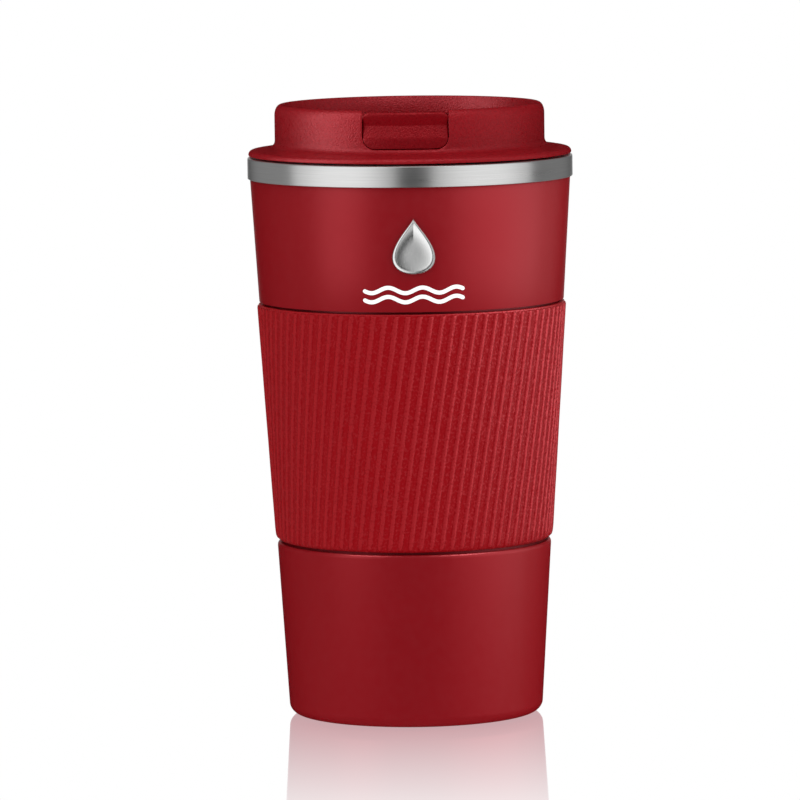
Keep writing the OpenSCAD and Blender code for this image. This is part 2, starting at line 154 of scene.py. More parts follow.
def arc(cx, cz, r, start, end, steps=8):
    """Points along an arc, angles in degrees."""
    angles = [radians(start + (end - start) * i / steps) for i in range(steps + 1)]
    return [(cx + r * cos(a), cz + r * sin(a)) for a in angles]


def rounded(corners, step=15):
    """Closed outline through corners (x, z, radius), each one turned into an arc of its radius."""
    out = []
    for i, (x, z, r) in enumerate(corners):
        if r <= 0:
            out.append((x, z))
            continue
        here = Vector((x, z))
        back = (Vector(corners[i - 1][:2]) - here).normalized()
        ahead = (Vector(corners[(i + 1) % len(corners)][:2]) - here).normalized()
        half = acos(max(-1.0, min(1.0, back.dot(ahead)))) / 2
        centre = here + (back + ahead).normalized() * (r / sin(half))
        first = here + back * (r / tan(half)) - centre
        last = here + ahead * (r / tan(half)) - centre
        sweep = atan2(first.x * last.y - first.y * last.x, first.dot(last))
        steps = max(1, round(abs(degrees(sweep)) / step))
        for k in range(steps + 1):
            out.append(tuple(centre + Matrix.Rotation(sweep * k / steps, 2) @ first))
    return out


def stack(rings, loop=False, caps=False):
    """Vertices and faces of rings laid on each other. loop joins the last ring to the first one."""
    n = len(rings[0])
    verts = [p for ring in rings for p in ring]
    faces = []
    for i in range(len(rings) if loop else len(rings) - 1):
        a, b = i * n, (i + 1) % len(rings) * n
        for j in range(n):
            k = (j + 1) % n
            faces.append((a + j, a + k, b + k, b + j))
    if caps:
        faces.append(tuple(range(n)))
        faces.append(tuple(range(len(verts) - n, len(verts))))
    return verts, faces


def lathe(profile, steps=256):
    """Solid of revolution of a profile of (radius, z). Ends that touch the axis become one point."""
    inner = [p for p in profile if p[0] > 1e-6]
    rings = [[polar(r, 2 * pi * j / steps, z) for j in range(steps)] for r, z in inner]
    verts, faces = stack(rings, loop=len(inner) == len(profile))
    if len(inner) != len(profile):
        for z, first in ((profile[0][1], 0), (profile[-1][1], len(verts) - steps)):
            verts.append((0, 0, z))
            tip = len(verts) - 1
            faces += [(first + j, first + (j + 1) % steps, tip) for j in range(steps)]
    return verts, faces


def slot_ring(w, d, z, cy, steps=12):
    """Ring of a slot along x, w end to end and d wide, at height z."""
    r, reach = d / 2, w / 2 - d / 2
    right = arc(reach, 0, r, -90, 90, steps)
    left = arc(-reach, 0, r, 90, 270, steps)
    return [(x, y + cy, z) for x, y in right + left]


def circle_ring(r, z, cy=0.0, steps=48):
    """Ring of a circle at height z, with its centre at x = 0 and y = cy."""
    turns = [2 * pi * j / steps for j in range(steps)]
    return [(r * cos(a), cy + r * sin(a), z) for a in turns]


def build(name, verts, faces, sharp=35):
    """Object from points in millimetres, with outward faces, smooth up to the sharp angle."""
    mesh = bpy.data.meshes.new(name)
    mesh.from_pydata([tuple(c * MM for c in v) for v in verts], [], faces)
    work = bmesh.new()
    work.from_mesh(mesh)
    bmesh.ops.remove_doubles(work, verts=work.verts, dist=1e-7)
    bmesh.ops.recalc_face_normals(work, faces=work.faces)
    work.to_mesh(mesh)
    work.free()
    obj = bpy.data.objects.new(name, mesh)
    bpy.context.scene.collection.objects.link(obj)
    smooth(obj, sharp)
    return obj


def smooth(obj, sharp):
    """Smooth shading, with edges over the sharp angle kept sharp."""
    obj.data.shade_smooth()
    obj.data.set_sharp_from_angle(angle=radians(sharp))


def bake_modifiers(obj, sharp=35):
    """Turns the modifiers of an object into its mesh."""
    graph = bpy.context.evaluated_depsgraph_get()
    mesh = bpy.data.meshes.new_from_object(obj.evaluated_get(graph))
    obj.modifiers.clear()
    obj.data = mesh
    smooth(obj, sharp)
    return obj


def combine(obj, operation, *tools, sharp=35):
    """Adds or cuts tool solids, which are used up."""
    for tool in tools:
        step = obj.modifiers.new("combine", "BOOLEAN")
        step.operation = operation
        step.solver = "EXACT"
        step.object = tool
    bpy.context.view_layer.update()
    bake_modifiers(obj, sharp)
    for tool in tools:
        bpy.data.objects.remove(tool)
    return obj


def round_marked_edges(obj, width, segments=3, sharp=35):
    """Rounds the edges that carry a bevel weight, then makes the result the mesh."""
    step = obj.modifiers.new("edges", "BEVEL")
    step.limit_method = "WEIGHT"
    step.width = width * MM
    step.segments = segments
    step.use_clamp_overlap = False
    step.miter_outer = "MITER_ARC"
    return bake_modifiers(obj, sharp)


def mark_edges(obj, weight_of):
    """Gives each edge the bevel weight that weight_of(angle between its faces, its two ends) returns."""
    work = bmesh.new()
    work.from_mesh(obj.data)
    layer = work.edges.layers.float.new("bevel_weight_edge")
    for edge in work.edges:
        if len(edge.link_faces) == 2:
            ends = [v.co / MM for v in edge.verts]
            edge[layer] = weight_of(edge.calc_face_angle(0.0), ends)
    work.to_mesh(obj.data)
    work.free()


def place(obj, body, slot, material, *nodes):
    """Puts a finished piece on its body, with its material and the CAD nodes it stands for. The slot is not
    used.
    """
    obj.data.materials.clear()
    obj.data.materials.append(material)
    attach(obj, body)
    if nodes:
        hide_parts(*nodes)
    return obj


# ---------------------------------------------------------------- material helpers
class Nodes:
    """A node tree, with short ways to make and join its nodes."""

    def __init__(self, tree):
        self.tree = tree

    def feed(self, value, socket):
        """Links an output to a socket, or sets the socket to a plain value."""
        if isinstance(value, bpy.types.NodeSocket):
            self.tree.links.new(value, socket)
        else:
            socket.default_value = value

    def node(self, kind, *fed, **values):
        """New node. fed goes to its first inputs, and values go to inputs or properties by name."""
        made = self.tree.nodes.new(kind)
        for key, value in values.items():
            label = key.replace("_", " ")
            if label in made.inputs:
                self.feed(value, made.inputs[label])
            else:
                setattr(made, key, value)
        for value, socket in zip(fed, made.inputs):
            self.feed(value, socket)
        return made

    def math(self, operation, *fed, **values):
        """Result of a Math node."""
        return self.node("ShaderNodeMath", *fed, operation=operation, **values).outputs["Value"]

    def spread(self, value, low, high, start=0.0, end=1.0):
        """Maps a value from start..end to low..high."""
        return self.node("ShaderNodeMapRange", value, start, end, low, high).outputs["Result"]

    def length(self, vector):
        """Length of a vector."""
        return self.node("ShaderNodeVectorMath", vector, operation="LENGTH").outputs["Value"]


class Shader(Nodes):
    """A node material with one Principled shader and a few short ways to feed it."""

    def __init__(self, name, color, roughness, **inputs):
        self.material = bpy.data.materials.new(name)
        self.material.use_nodes = True
        super().__init__(self.material.node_tree)
        self.surface = self.tree.nodes["Principled BSDF"]
        self.surface.inputs["Base Color"].default_value = (*color, 1)
        self.surface.inputs["Roughness"].default_value = roughness
        for key, value in inputs.items():
            self.surface.inputs[key.replace("_", " ")].default_value = value
        self.material.diffuse_color = (*color, 1)

    def position(self, scale=(1, 1, 1)):
        """Object coordinates in metres, stretched by scale."""
        here = self.node("ShaderNodeTexCoord").outputs["Object"]
        return self.node("ShaderNodeMapping", here, Scale=scale).outputs["Vector"]

    def noise(self, size_mm, detail=2.0, stretch=(1, 1, 1), roughness=0.5):
        """Noise value with features of about size_mm."""
        where = self.position(tuple(s / (size_mm * MM) for s in stretch))
        made = self.node("ShaderNodeTexNoise", where, Scale=1.0, Detail=detail, Roughness=roughness)
        return made.outputs["Fac"]

    def cells(self, size_mm):
        """Distance to the nearest cell centre, with cells of about size_mm."""
        where = self.position((1 / (size_mm * MM),) * 3)
        return self.node("ShaderNodeTexVoronoi", where, Scale=1.0).outputs["Distance"]

    def above_cone(self, base_r, taper):
        """Distance out from a cone round the axis, of radius base_r (mm) at z = 0. And z, both in metres."""
        here = self.node("ShaderNodeSeparateXYZ", self.position()).outputs
        radius = self.length(self.node("ShaderNodeCombineXYZ", here["X"], here["Y"]).outputs["Vector"])
        lean = self.math("MULTIPLY_ADD", here["Z"], -taper, radius)
        return self.math("SUBTRACT", lean, base_r * MM), here["Z"]

    def mix_color(self, value, first, second):
        """Blends two colours by a value from 0 to 1, and feeds the base colour."""
        mix = self.node("ShaderNodeMix", value, data_type="RGBA")
        mix.inputs[6].default_value = (*first, 1)
        mix.inputs[7].default_value = (*second, 1)
        self.feed(mix.outputs[2], self.surface.inputs["Base Color"])

    def shade(self, factor):
        """Darkens the base colour by a factor from 0 to 1."""
        color = self.surface.inputs["Base Color"]
        before = color.links[0].from_socket
        darker = self.node("ShaderNodeVectorMath", before, operation="SCALE", Scale=factor)
        self.feed(darker.outputs["Vector"], color)

    def roughness(self, value, low, high, start=0.3, end=0.7):
        """Roughness from low to high, as a value goes from start to end."""
        self.feed(self.spread(value, low, high, start, end), self.surface.inputs["Roughness"])

    def bump(self, height, distance_mm):
        """Adds a bump of that depth to the normal."""
        normal = self.surface.inputs["Normal"]
        made = self.node("ShaderNodeBump", Strength=1.0, Distance=distance_mm * MM, Height=height)
        if normal.links:
            self.feed(normal.links[0].from_socket, made.inputs["Normal"])
        self.feed(made.outputs["Normal"], normal)


def red_gloss(shader, tint, roughness):
    """Reflection of a pigmented film: strong in red and weak in the other colours."""
    shader.surface.inputs["IOR"].default_value = 1.8
    shader.surface.inputs["Specular Tint"].default_value = (1.0, tint, tint * 1.15, 1)
    shader.surface.inputs["Roughness"].default_value = roughness


def painted_red():
    """Satin powder coat: fine orange peel, slightly uneven colour and gloss, with painted shade in the
    waist's gaps.
    """
    s = Shader("powder_coat_red", (0.193, 0.0004, 0.0033), 0.34)
    red_gloss(s, 0.19, 0.34)
    s.mix_color(s.noise(9, 3), (0.188, 0.0004, 0.003), (0.198, 0.0005, 0.0036))
    lift, z = s.above_cone(BODY_BASE_R, BODY_TAPER)
    # Painted shade: the colour drops to 0.35 where the paint lies 0.8 to 1 mm or more inside the cone, in
    # the waist's gaps at the sleeve's edges. The darkening fades out between 30 and 20 mm height, so the
    # recess under the foot stays plain.
    gap_shade = s.spread(lift, 0.35, 1, -1.0 * MM, -0.8 * MM)
    s.shade(s.math("MAXIMUM", gap_shade, s.spread(z, 1, 0, 20 * MM, 30 * MM)))
    s.roughness(s.noise(2.2, 4), 0.32, 0.38)
    s.bump(s.noise(0.55, 2), 0.004)
    s.bump(s.noise(0.16, 1), 0.0015)
    return s.material


def sleeve_silicone():
    """Moulded silicone: smoother on the ribs, dry and speckled in between; its colour carries painted light,
    lighter on the ribs and along the top edge and darker in the valleys.
    """
    s = Shader("silicone_red", (0.3, 0.0015, 0.0045), 0.46)
    red_gloss(s, 0.19, 0.46)
    lift, z = s.above_cone(SLEEVE_LOW_R - SLEEVE_TAPER * SLEEVE_LOW.z, SLEEVE_TAPER)
    ribs = s.spread(lift, 0, 1, -0.95 * RIB_HEIGHT * MM, -0.3 * RIB_HEIGHT * MM)
    top_edge_highlight = s.spread(z, 0, 1, (SLEEVE_HIGH.z - 0.5) * MM, (SLEEVE_HIGH.z - 0.3) * MM)
    grain = s.spread(s.noise(0.62, 3), -0.75, 0.75, 0.3, 0.7)
    # Painted light and shade: the colour goes lighter on the rib tops and in a painted highlight along the
    # top edge, and darker in the valleys between the ribs; the noise adds random grain.
    painted_rib_light_and_grain = s.math("ADD", s.math("MAXIMUM", ribs, top_edge_highlight), grain, use_clamp=True)
    s.mix_color(painted_rib_light_and_grain, (0.235, 0.001, 0.0035), (0.315, 0.0016, 0.0045))
    s.roughness(painted_rib_light_and_grain, 0.54, 0.38, 0, 1)
    s.feed(s.spread(painted_rib_light_and_grain, 0.1, 0.85), s.surface.inputs["Specular IOR Level"])
    s.bump(s.noise(0.62, 3), 0.17)
    return s.material


def moulded_plastic(name, dark, light, roughness, grain_mm, depth_mm, tint=1.0):
    """Polypropylene with the fine spark-eroded grain of its mould. A tint under 1 makes its gloss red."""
    s = Shader(name, light, roughness)
    if tint < 1:
        red_gloss(s, tint, roughness)
    s.mix_color(s.spread(s.noise(grain_mm * 1.3, 3), 0, 1, 0.3, 0.7), dark, light)
    s.roughness(s.noise(grain_mm * 2, 3), roughness - 0.06, roughness + 0.08)
    s.bump(s.cells(grain_mm), depth_mm)
    s.bump(s.noise(grain_mm, 2), depth_mm * 1.5)
    return s.material


def turned_steel(name, color, darkest, roughness, line_mm, depth_mm, anisotropy):
    """Steel with fine lines that run round the axis."""
    s = Shader(name, color, roughness, Metallic=1.0, Anisotropic=anisotropy, Anisotropic_Rotation=0.25)
    tangent = s.node("ShaderNodeTangent", direction_type="RADIAL", axis="Z")
    s.feed(tangent.outputs["Tangent"], s.surface.inputs["Tangent"])
    round_lines = (line_mm / 18, line_mm / 18, 1)
    lines = s.noise(line_mm, 3, round_lines, 0.6)
    s.mix_color(s.spread(lines, 0, 1, 0.25, 0.75), tuple(c * darkest for c in color), color)
    s.roughness(s.noise(line_mm * 6, 2, round_lines), roughness * 0.92, roughness * 1.1)
    s.bump(lines, depth_mm)
    return s.material


def brushed_badge():
    """Satin bright metal with short upright brush lines."""
    s = Shader("badge_metal", (0.9, 0.9, 0.89), 0.24, Metallic=1.0)
    lines = s.noise(0.09, 3, (1, 1, 0.06), 0.6)
    s.mix_color(s.spread(lines, 0, 1, 0.3, 0.7), (0.84, 0.85, 0.85), (0.92, 0.92, 0.91))
    s.roughness(lines, 0.2, 0.28)
    s.bump(lines, 0.0004)
    return s.material


def drawn_steel():
    """Electropolished sheet with a soft, cloudy gloss."""
    s = Shader("drawn_steel", (0.66, 0.66, 0.67), 0.3, Metallic=1.0)
    s.mix_color(s.noise(4, 4), (0.60, 0.60, 0.61), (0.70, 0.70, 0.71))
    s.roughness(s.noise(1.5, 4), 0.3, 0.4)
    s.bump(s.noise(0.3, 2), 0.0006)
    return s.material


def soft_rubber(name, dark, light, roughness, grain_mm=0.3, **inputs):
    """Rubber or silicone with a fine dull grain."""
    s = Shader(name, light, roughness, Specular_IOR_Level=0.4, **inputs)
    s.mix_color(s.noise(grain_mm * 4, 3), dark, light)
    s.roughness(s.noise(grain_mm * 2, 3), roughness - 0.06, roughness + 0.08)
    s.bump(s.noise(grain_mm, 2), 0.008)
    return s.material


def print_ink():
    """White screen print with a slightly uneven film."""
    s = Shader("print_white", (0.88, 0.88, 0.87), 0.45)
    s.mix_color(s.noise(0.6, 3), (0.84, 0.84, 0.83), (0.90, 0.90, 0.89))
    s.roughness(s.noise(0.3, 2), 0.4, 0.52)
    s.bump(s.noise(0.12, 2), 0.003)
    return s.material


def copper_sheet():
    """Bright copper foil with small creases."""
    s = Shader("copper_foil", (0.80, 0.40, 0.26), 0.28, Metallic=1.0)
    s.mix_color(s.noise(6, 4), (0.74, 0.35, 0.22), (0.84, 0.45, 0.30))
    s.roughness(s.noise(2, 4), 0.2, 0.4)
    s.bump(s.noise(5, 3, (1, 1, 0.4)), 0.12)
    return s.material


def pressed_pellet():
    """Dark sintered metal with open grains."""
    s = Shader("getter_pellet", (0.13, 0.13, 0.14), 0.7, Metallic=0.6)
    s.mix_color(s.cells(0.35), (0.08, 0.08, 0.085), (0.20, 0.20, 0.21))
    s.roughness(s.noise(0.4, 3), 0.6, 0.85, 0, 1)
    s.bump(s.cells(0.35), 0.05)
    return s.material


def fired_bead():
    """Grey glassy solder with small bubbles."""
    s = Shader("fired_bead", (0.34, 0.35, 0.37), 0.22, Coat_Weight=0.6)
    s.mix_color(s.noise(0.5, 3), (0.28, 0.29, 0.31), (0.42, 0.43, 0.45))
    s.roughness(s.noise(0.3, 3), 0.15, 0.35, 0, 1)
    s.bump(s.cells(0.4), 0.03)
    return s.material


BLACK, SOFT_BLACK = (0.012, 0.012, 0.013), (0.022, 0.022, 0.023)
LID_RED, DEEP_RED = (0.2, 0.0018, 0.005), (0.155, 0.001, 0.0036)
lid_plastic = moulded_plastic("lid_plastic_red", LID_RED, (0.27, 0.0028, 0.007), 0.32, 0.42, 0.06, 0.22)
flap_plastic = moulded_plastic("flap_plastic_red", DEEP_RED, LID_RED, 0.3, 0.42, 0.05, 0.13)
core_plastic = moulded_plastic("core_plastic_black", BLACK, SOFT_BLACK, 0.4, 0.3, 0.006)
paint = painted_red()
silicone = sleeve_silicone()
band_steel = turned_steel("brushed_band", (0.88, 0.88, 0.875), 0.86, 0.29, 0.2, 0.0009, 0.55)
cap_steel = turned_steel("spun_cap", (0.5, 0.5, 0.51), 0.7, 0.3, 0.2, 0.003, 0.75)
badge_metal = brushed_badge()
sheet_steel = drawn_steel()
pad_rubber = soft_rubber("pad_rubber", BLACK, SOFT_BLACK, 0.62)
seal_rubber = soft_rubber("seal_silicone", (0.30, 0.30, 0.30), (0.42, 0.42, 0.42), 0.42, 0.25,
                          Subsurface_Weight=0.3, Subsurface_Scale=0.001)
foam_rubber = soft_rubber("adhesive_foam", (0.02, 0.02, 0.02), (0.04, 0.04, 0.04), 0.8, 0.2)
ink = print_ink()


# ---------------------------------------------------------------- cup
def outer_wall():
    """Painted outer shell with its rounded foot, its waist for the sleeve and its turned-in lip."""
    waist_low, waist_high = SLEEVE_LOW.z - 0.65, SLEEVE_HIGH.z + 0.62
    corner_z = SKIRT_Z + FOOT_CORNER
    corner_x = body_r(corner_z) - FOOT_CORNER
    shoulder_h, shoulder_in, waist_depth = 1.2, 0.8, 1.1
    base = waist_low - shoulder_h
    shoulder = []
    for step in range(9):
        a = radians(90 * step / 8)
        z = base + shoulder_h * sin(a)
        shoulder.append((body_r(z) - shoulder_in * (1 - cos(a)), z))
    outside = [(RECESS_R, RECESS_TOP), (RECESS_R, SKIRT_Z + 0.2), (RECESS_R + 0.2, SKIRT_Z)]
    outside += arc(corner_x, corner_z, FOOT_CORNER, -90, 0, 14) + shoulder
    outside += [
        (body_r(waist_low) - waist_depth, waist_low),
        (body_r(waist_high) - waist_depth, waist_high),
        (body_r(waist_high) - 0.12, waist_high),
        (body_r(waist_high) - 0.03, waist_high + 0.05),
        (body_r(waist_high), waist_high + 0.15),
        (body_r(BAND_LOW.z), BAND_LOW.z),
        (BAND_IN_R, BAND_LOW.z + 0.05),
        (BAND_IN_R, LIP_Z),
    ]
    inside = [
        (BAND_IN_R - SHEET, LIP_Z),
        (BAND_IN_R - SHEET, BAND_LOW.z),
        (body_r(waist_high + 2.4) - SHEET, waist_high + 2.4),
        (body_r(waist_high + 1.2) - waist_depth - SHEET, waist_high + 1.2),
        (body_r(waist_low) - waist_depth - SHEET, waist_low - SHEET),
        (body_r(base) - SHEET, base - SHEET),
    ]
    inside += arc(corner_x, corner_z, FOOT_CORNER - SHEET, 0, -90, 14)
    inside += [(RECESS_R + SHEET, SKIRT_Z + SHEET), (RECESS_R + SHEET, RECESS_TOP)]
    return build("outer_wall", *lathe(outside + inside, 320), sharp=40)


def mouth_band():
    """Brushed steel band with softly broken edges."""
    profile = rounded([
        (BAND_IN_R, BAND_LOW.z, 0.08),
        (BAND_R, BAND_LOW.z, 0.18),
        (BAND_R, BAND_HIGH.z, 0.55),
        (MOUTH_R, BAND_HIGH.z, 0.55),
        (MOUTH_R, LIP_Z, 0.1),
        (BAND_IN_R, LIP_Z, 0),
    ])
    return build("mouth_band", *lathe(profile, 320), sharp=50)


def rib_shape(offset):
    """Height of a rib, 0 to 1, at an offset from its middle in pitches: a round bead with soft feet."""
    t = abs(offset) / RIB_HALF
    if t >= 1:
        return 0.0
    return 0.75 * sqrt(1 - t * t) + 0.25 * cos(pi / 2 * t) ** 2


def sleeve_face_r(z):
    """Radius of the rib tops, with the sleeve's rounded lower edge."""
    r = SLEEVE_LOW_R + SLEEVE_TAPER * (z - SLEEVE_LOW.z)
    reach = 2.6
    into = SLEEVE_LOW.z + reach - z
    if into > 0:
        r -= 0.85 * (1 - sqrt(max(0.0, 1 - (into / reach) ** 2)))
    return r


def sleeve_ring(z, sink, ribs):
    """Ring of the sleeve at height z, sunk in by sink, with ribs from 0 (none) to 1 (full)."""
    half = [0.08, 0.14, 0.19, 0.225, 0.243, 0.27, 0.37]
    offsets = [-0.5] + [-x for x in reversed(half)] + [0] + half
    points = []
    for i in range(RIB_COUNT):
        for offset in offsets:
            angle = radians(360 / RIB_COUNT * (i + offset) + RIB_LEAN * (z - SLEEVE_LOW.z))
            lift = RIB_HEIGHT * ribs * rib_shape(offset)
            points.append(polar(sleeve_face_r(z) - RIB_HEIGHT + lift - sink, angle, z))
    return points


def ribbed_sleeve():
    """Silicone sleeve with leaning raised ribs that stop short of both edges."""
    low, high = SLEEVE_LOW.z, SLEEVE_HIGH.z
    rib_low, rib_high = low + RIB_MARGIN_LOW, high - RIB_MARGIN_TOP
    ends = [0, 0.05, 0.12, 0.22, 0.34, 0.5]
    middle = [rib_low + 1 + (rib_high - rib_low - 2) * i / 34 for i in range(35)]
    heights = [low, low + 0.08, low + 0.25, low + 0.55] + [rib_low + e for e in ends] + middle
    heights += [rib_high - e for e in reversed(ends)] + [high - 0.45]
    rings = []
    for z in heights:
        inward = min(1.0, max(0.0, min(z - rib_low, rib_high - z) / RIB_END))
        rings.append(sleeve_ring(z, 0, sqrt(1 - (1 - inward) ** 2)))
    for a in (30, 60, 90):
        rings.append(sleeve_ring(high - 0.35 + 0.35 * sin(radians(a)), 0.35 * (1 - cos(radians(a))), 0))
    depth = 1.0
    for z in (high, low):
        rings.append(sleeve_ring(z, sleeve_face_r(z) - RIB_HEIGHT - body_r(z) + depth, 0))
    return build("ribbed_sleeve", *stack(rings, loop=True), sharp=60)


def drop_ring(inset, lift, steps=72):
    """Outline of the drop, drawn in by inset, on the painted cone at a lift above the paint."""
    half_w, half_h = 5.8 - inset, 7.65 - inset
    widest = 0.713       # about the greatest value of sin(t) * abs(sin(t / 2)) ** 1.4
    mid_z = (BADGE_LOW.z + BADGE_HIGH.z) / 2
    points = []
    for j in range(steps):
        t = 2 * pi * j / steps
        across = half_w / widest * sin(t) * abs(sin(t / 2)) ** 1.4
        z = mid_z + half_h * cos(t)
        points.append(polar(body_r(z) + lift, radians(BADGE_TURN) + across / body_r(mid_z), z))
    return points


def drop_badge():
    """Metal drop with a rounded edge and a dished face."""
    steps = [
        (0.0, 0.15), (0.0, 0.85), (0.05, 1.02), (0.15, 1.18), (0.3, 1.28), (0.5, 1.33), (0.8, 1.33),
        (0.92, 1.31), (1.05, 1.26), (1.5, 1.15), (2.2, 1.02), (3.0, 0.92), (4.0, 0.85), (5.2, 0.82),
    ]
    rings = [drop_ring(inset, lift) for inset, lift in steps]
    return build("drop_badge", *stack(rings, caps=True), sharp=32)


def printed_wave(name, z):
    """One printed wave line, a thin film that follows the cone."""
    half_l, swing, waves, half_w, film = 14.0, 0.75, 3, 0.55, 0.05
    steps = 120
    upper, lower = [], []
    for i in range(steps + 1):
        s = -half_l + 2 * half_l * (0.5 - 0.5 * cos(pi * i / steps))
        phase = pi * waves * s / half_l
        slope = swing * pi * waves / half_l * cos(phase)
        lean = hypot(1, slope)
        into = min(half_l - abs(s), half_w)
        width = sqrt(max(0.0, half_w ** 2 - (half_w - into) ** 2)) + 0.002
        y = swing * sin(phase)
        upper.append((s - width * slope / lean, y + width / lean))
        lower.append((s + width * slope / lean, y - width / lean))

    def wrap(point, lift):
        across, up = point
        height = z + up
        return polar(body_r(height) + lift, radians(BADGE_TURN) + across / body_r(z), height)

    rings = []
    for a, b in zip(upper, lower):
        rings.append([wrap(a, 0.005), wrap(a, film), wrap(b, film), wrap(b, 0.005)])
    return build(name, *stack(rings, caps=True), sharp=30)


def ridge(name, root_r, tip_r, start_turn, start_z, steps=60):
    """One rolled thread ridge with a rounded crest that runs out at both ends."""
    rings = []
    for i in range(steps + 1):
        angle = THREAD_SWEEP * i / steps
        from_end = min(angle, THREAD_SWEEP - angle)
        fade = min(1.0, (from_end + 0.5) / 9)
        tip = root_r + (tip_r - root_r) * (0.25 + 0.75 * sqrt(fade))
        z = start_z + THREAD_LEAD * angle / 360
        section = [(root_r, -1.0), (tip - (tip - root_r) * 0.18, -0.62), (tip, -0.3), (tip, 0.3),
                   (tip - (tip - root_r) * 0.18, 0.62), (root_r, 1.0)]
        turn = radians(start_turn + angle)
        rings.append([(r * cos(turn), r * sin(turn), z + dz) for r, dz in section])
    return build(name, *stack(rings, caps=True))


def thread_ridges(root_r, tip_r, start_z):
    """The ridge for each start."""
    return [ridge("ridge", root_r, tip_r, s * 360 / THREAD_STARTS, start_z) for s in range(THREAD_STARTS)]


def drinking_cup():
    """Steel liner with its neck, weld flange and thread."""
    floor, corner = 8.8, 5.0
    corner_z = floor + corner
    corner_x = body_r(corner_z) - WALL_TOTAL - corner
    neck_low, neck_high = 139.0, 141.8
    neck_r = body_r(neck_low) - WALL_TOTAL
    inside = [(0, floor)] + arc(corner_x, corner_z, corner, -90, 0, 14)
    inside += [(neck_r, neck_low - 0.5), (neck_r + 0.15, neck_low), (MOUTH_R - 0.3, neck_high - 0.15),
               (MOUTH_R, neck_high + 0.2), (MOUTH_R, LIP_Z)]
    outside = [
        (BAND_IN_R - SHEET, LIP_Z),
        (BAND_IN_R - SHEET, LIP_Z - SHEET),
        (MOUTH_R + SHEET, LIP_Z - SHEET),
        (MOUTH_R + SHEET, neck_high - SHEET / 2),
        (neck_r + SHEET, neck_low - SHEET / 2),
    ]
    outside += arc(corner_x, corner_z, corner + SHEET, 0, -90, 14) + [(0, floor - SHEET)]
    cup = build("drinking_cup", *lathe(inside + outside, 256))
    return combine(cup, "UNION", *thread_ridges(MOUTH_R + 0.3, MOUTH_R - 1.5, 147.0))


def foot_ring():
    """Non-slip ring with fine concentric grooves underneath."""
    inner, outer, top = 19.0, PAD_HIGH.x, PAD_HIGH.z
    corners = [(inner, top, 0.1), (inner, 0, 0.5)]
    for i in range(5):
        middle = inner + 1.4 + (outer - inner - 2.8) * (i + 0.5) / 5
        corners += [(middle - 0.35, 0, 0.12), (middle - 0.2, 0.35, 0.1), (middle + 0.2, 0.35, 0.1),
                    (middle + 0.35, 0, 0.12)]
    corners += [(outer, 0, 0.5), (outer, top, 0.1)]
    return build("foot_ring", *lathe(rounded(corners, 30), 192), sharp=45)


def base_cover():
    """Pressed steel cap with two shallow rings spun into it."""
    r, low, t = CAP_HIGH.x, CAP_LOW.z, 0.6
    under = [(0, low + 0.25), (9, low + 0.25), (9.5, low + 0.2), (10, low), (15, low), (15.4, low + 0.12),
             (16, low + 0.12), (16.4, low), (r - 0.3, low), (r, low + 0.3)]
    over = [(r, CAP_HIGH.z), (r - t, CAP_HIGH.z), (r - t, low + t), (10, low + t), (9, low + t + 0.2),
            (0, low + t + 0.2)]
    return build("base_cover", *lathe(under + over, 192))


# ---------------------------------------------------------------- lid
def lid_outer_profile():
    """Outside of the lid from the flange's lower edge up to the wall's foot."""
    edge_r, edge_z = 1.2, FLANGE_Z + 0.3
    return (
        [(FLANGE_R - 0.25, FLANGE_Z), (FLANGE_R - 0.07, FLANGE_Z + 0.07), (FLANGE_R, FLANGE_Z + 0.25)]
        + arc(FLANGE_R - edge_r, edge_z, edge_r, 0, 81, 10)
        + arc(WALL_R + LID_FOOT_R, LID_FOOT_Z, LID_FOOT_R, 261, 180, 12)
    )


def lid_outer_radius(z):
    """Radius of the lid's outside at height z, on the flange's slope and above it."""
    lowest = 158
    points = [p for p in lid_outer_profile() if p[1] > lowest] + [(WALL_R, LID_TOP)]
    for (r0, z0), (r1, z1) in zip(points, points[1:]):
        if z0 <= z <= z1:
            return r0 + (r1 - r0) * (z - z0) / (z1 - z0)
    return WALL_R


def corner_drop(x, half_w, r):
    """How far an upright outline with rounded corners pulls in at x."""
    into = abs(x) - (half_w - r)
    return 0.0 if into <= 0 else r - sqrt(max(0.0, r * r - into * into))


def deck_side(r):
    """Lower end of an inner wall of the lid, with a rounded inside corner at the deck."""
    return [(r, DECK_Z + 1)] + arc(r - 1, DECK_Z + 1, 1, 0, -90, 6)[1:]


def notch_column(x, wall, behind):
    """Points of the lid at x in the notch: its wall below the pocket, the pocket and the drinking wall."""
    floor = POCKET_FLOOR + corner_drop(x, NOTCH_HALF_W, POCKET_CORNER)
    slope_z = 158.6
    points = []
    for r, z in wall:
        if z > slope_z:
            z = slope_z + (z - slope_z) * (floor - slope_z) / (POCKET_SIDE_FLOOR - slope_z)
            r = lid_outer_radius(z)
        points.append(on_front(x, r, z))
    return points + [on_front(x, POCKET_R, floor)] + [on_front(x, r, z) for r, z in behind]


def notch_stations():
    """Places across the notch, from one side to the other, closer together at the rounded corners."""
    edge = [NOTCH_HALF_W - POCKET_CORNER * (1 - cos(radians(a))) for a in (0, 24, 38, 51, 64, 77, 90)]
    middle = [edge[-1] * i / 8 for i in range(7, -8, -1)]
    return edge + middle + [-x for x in reversed(edge)]


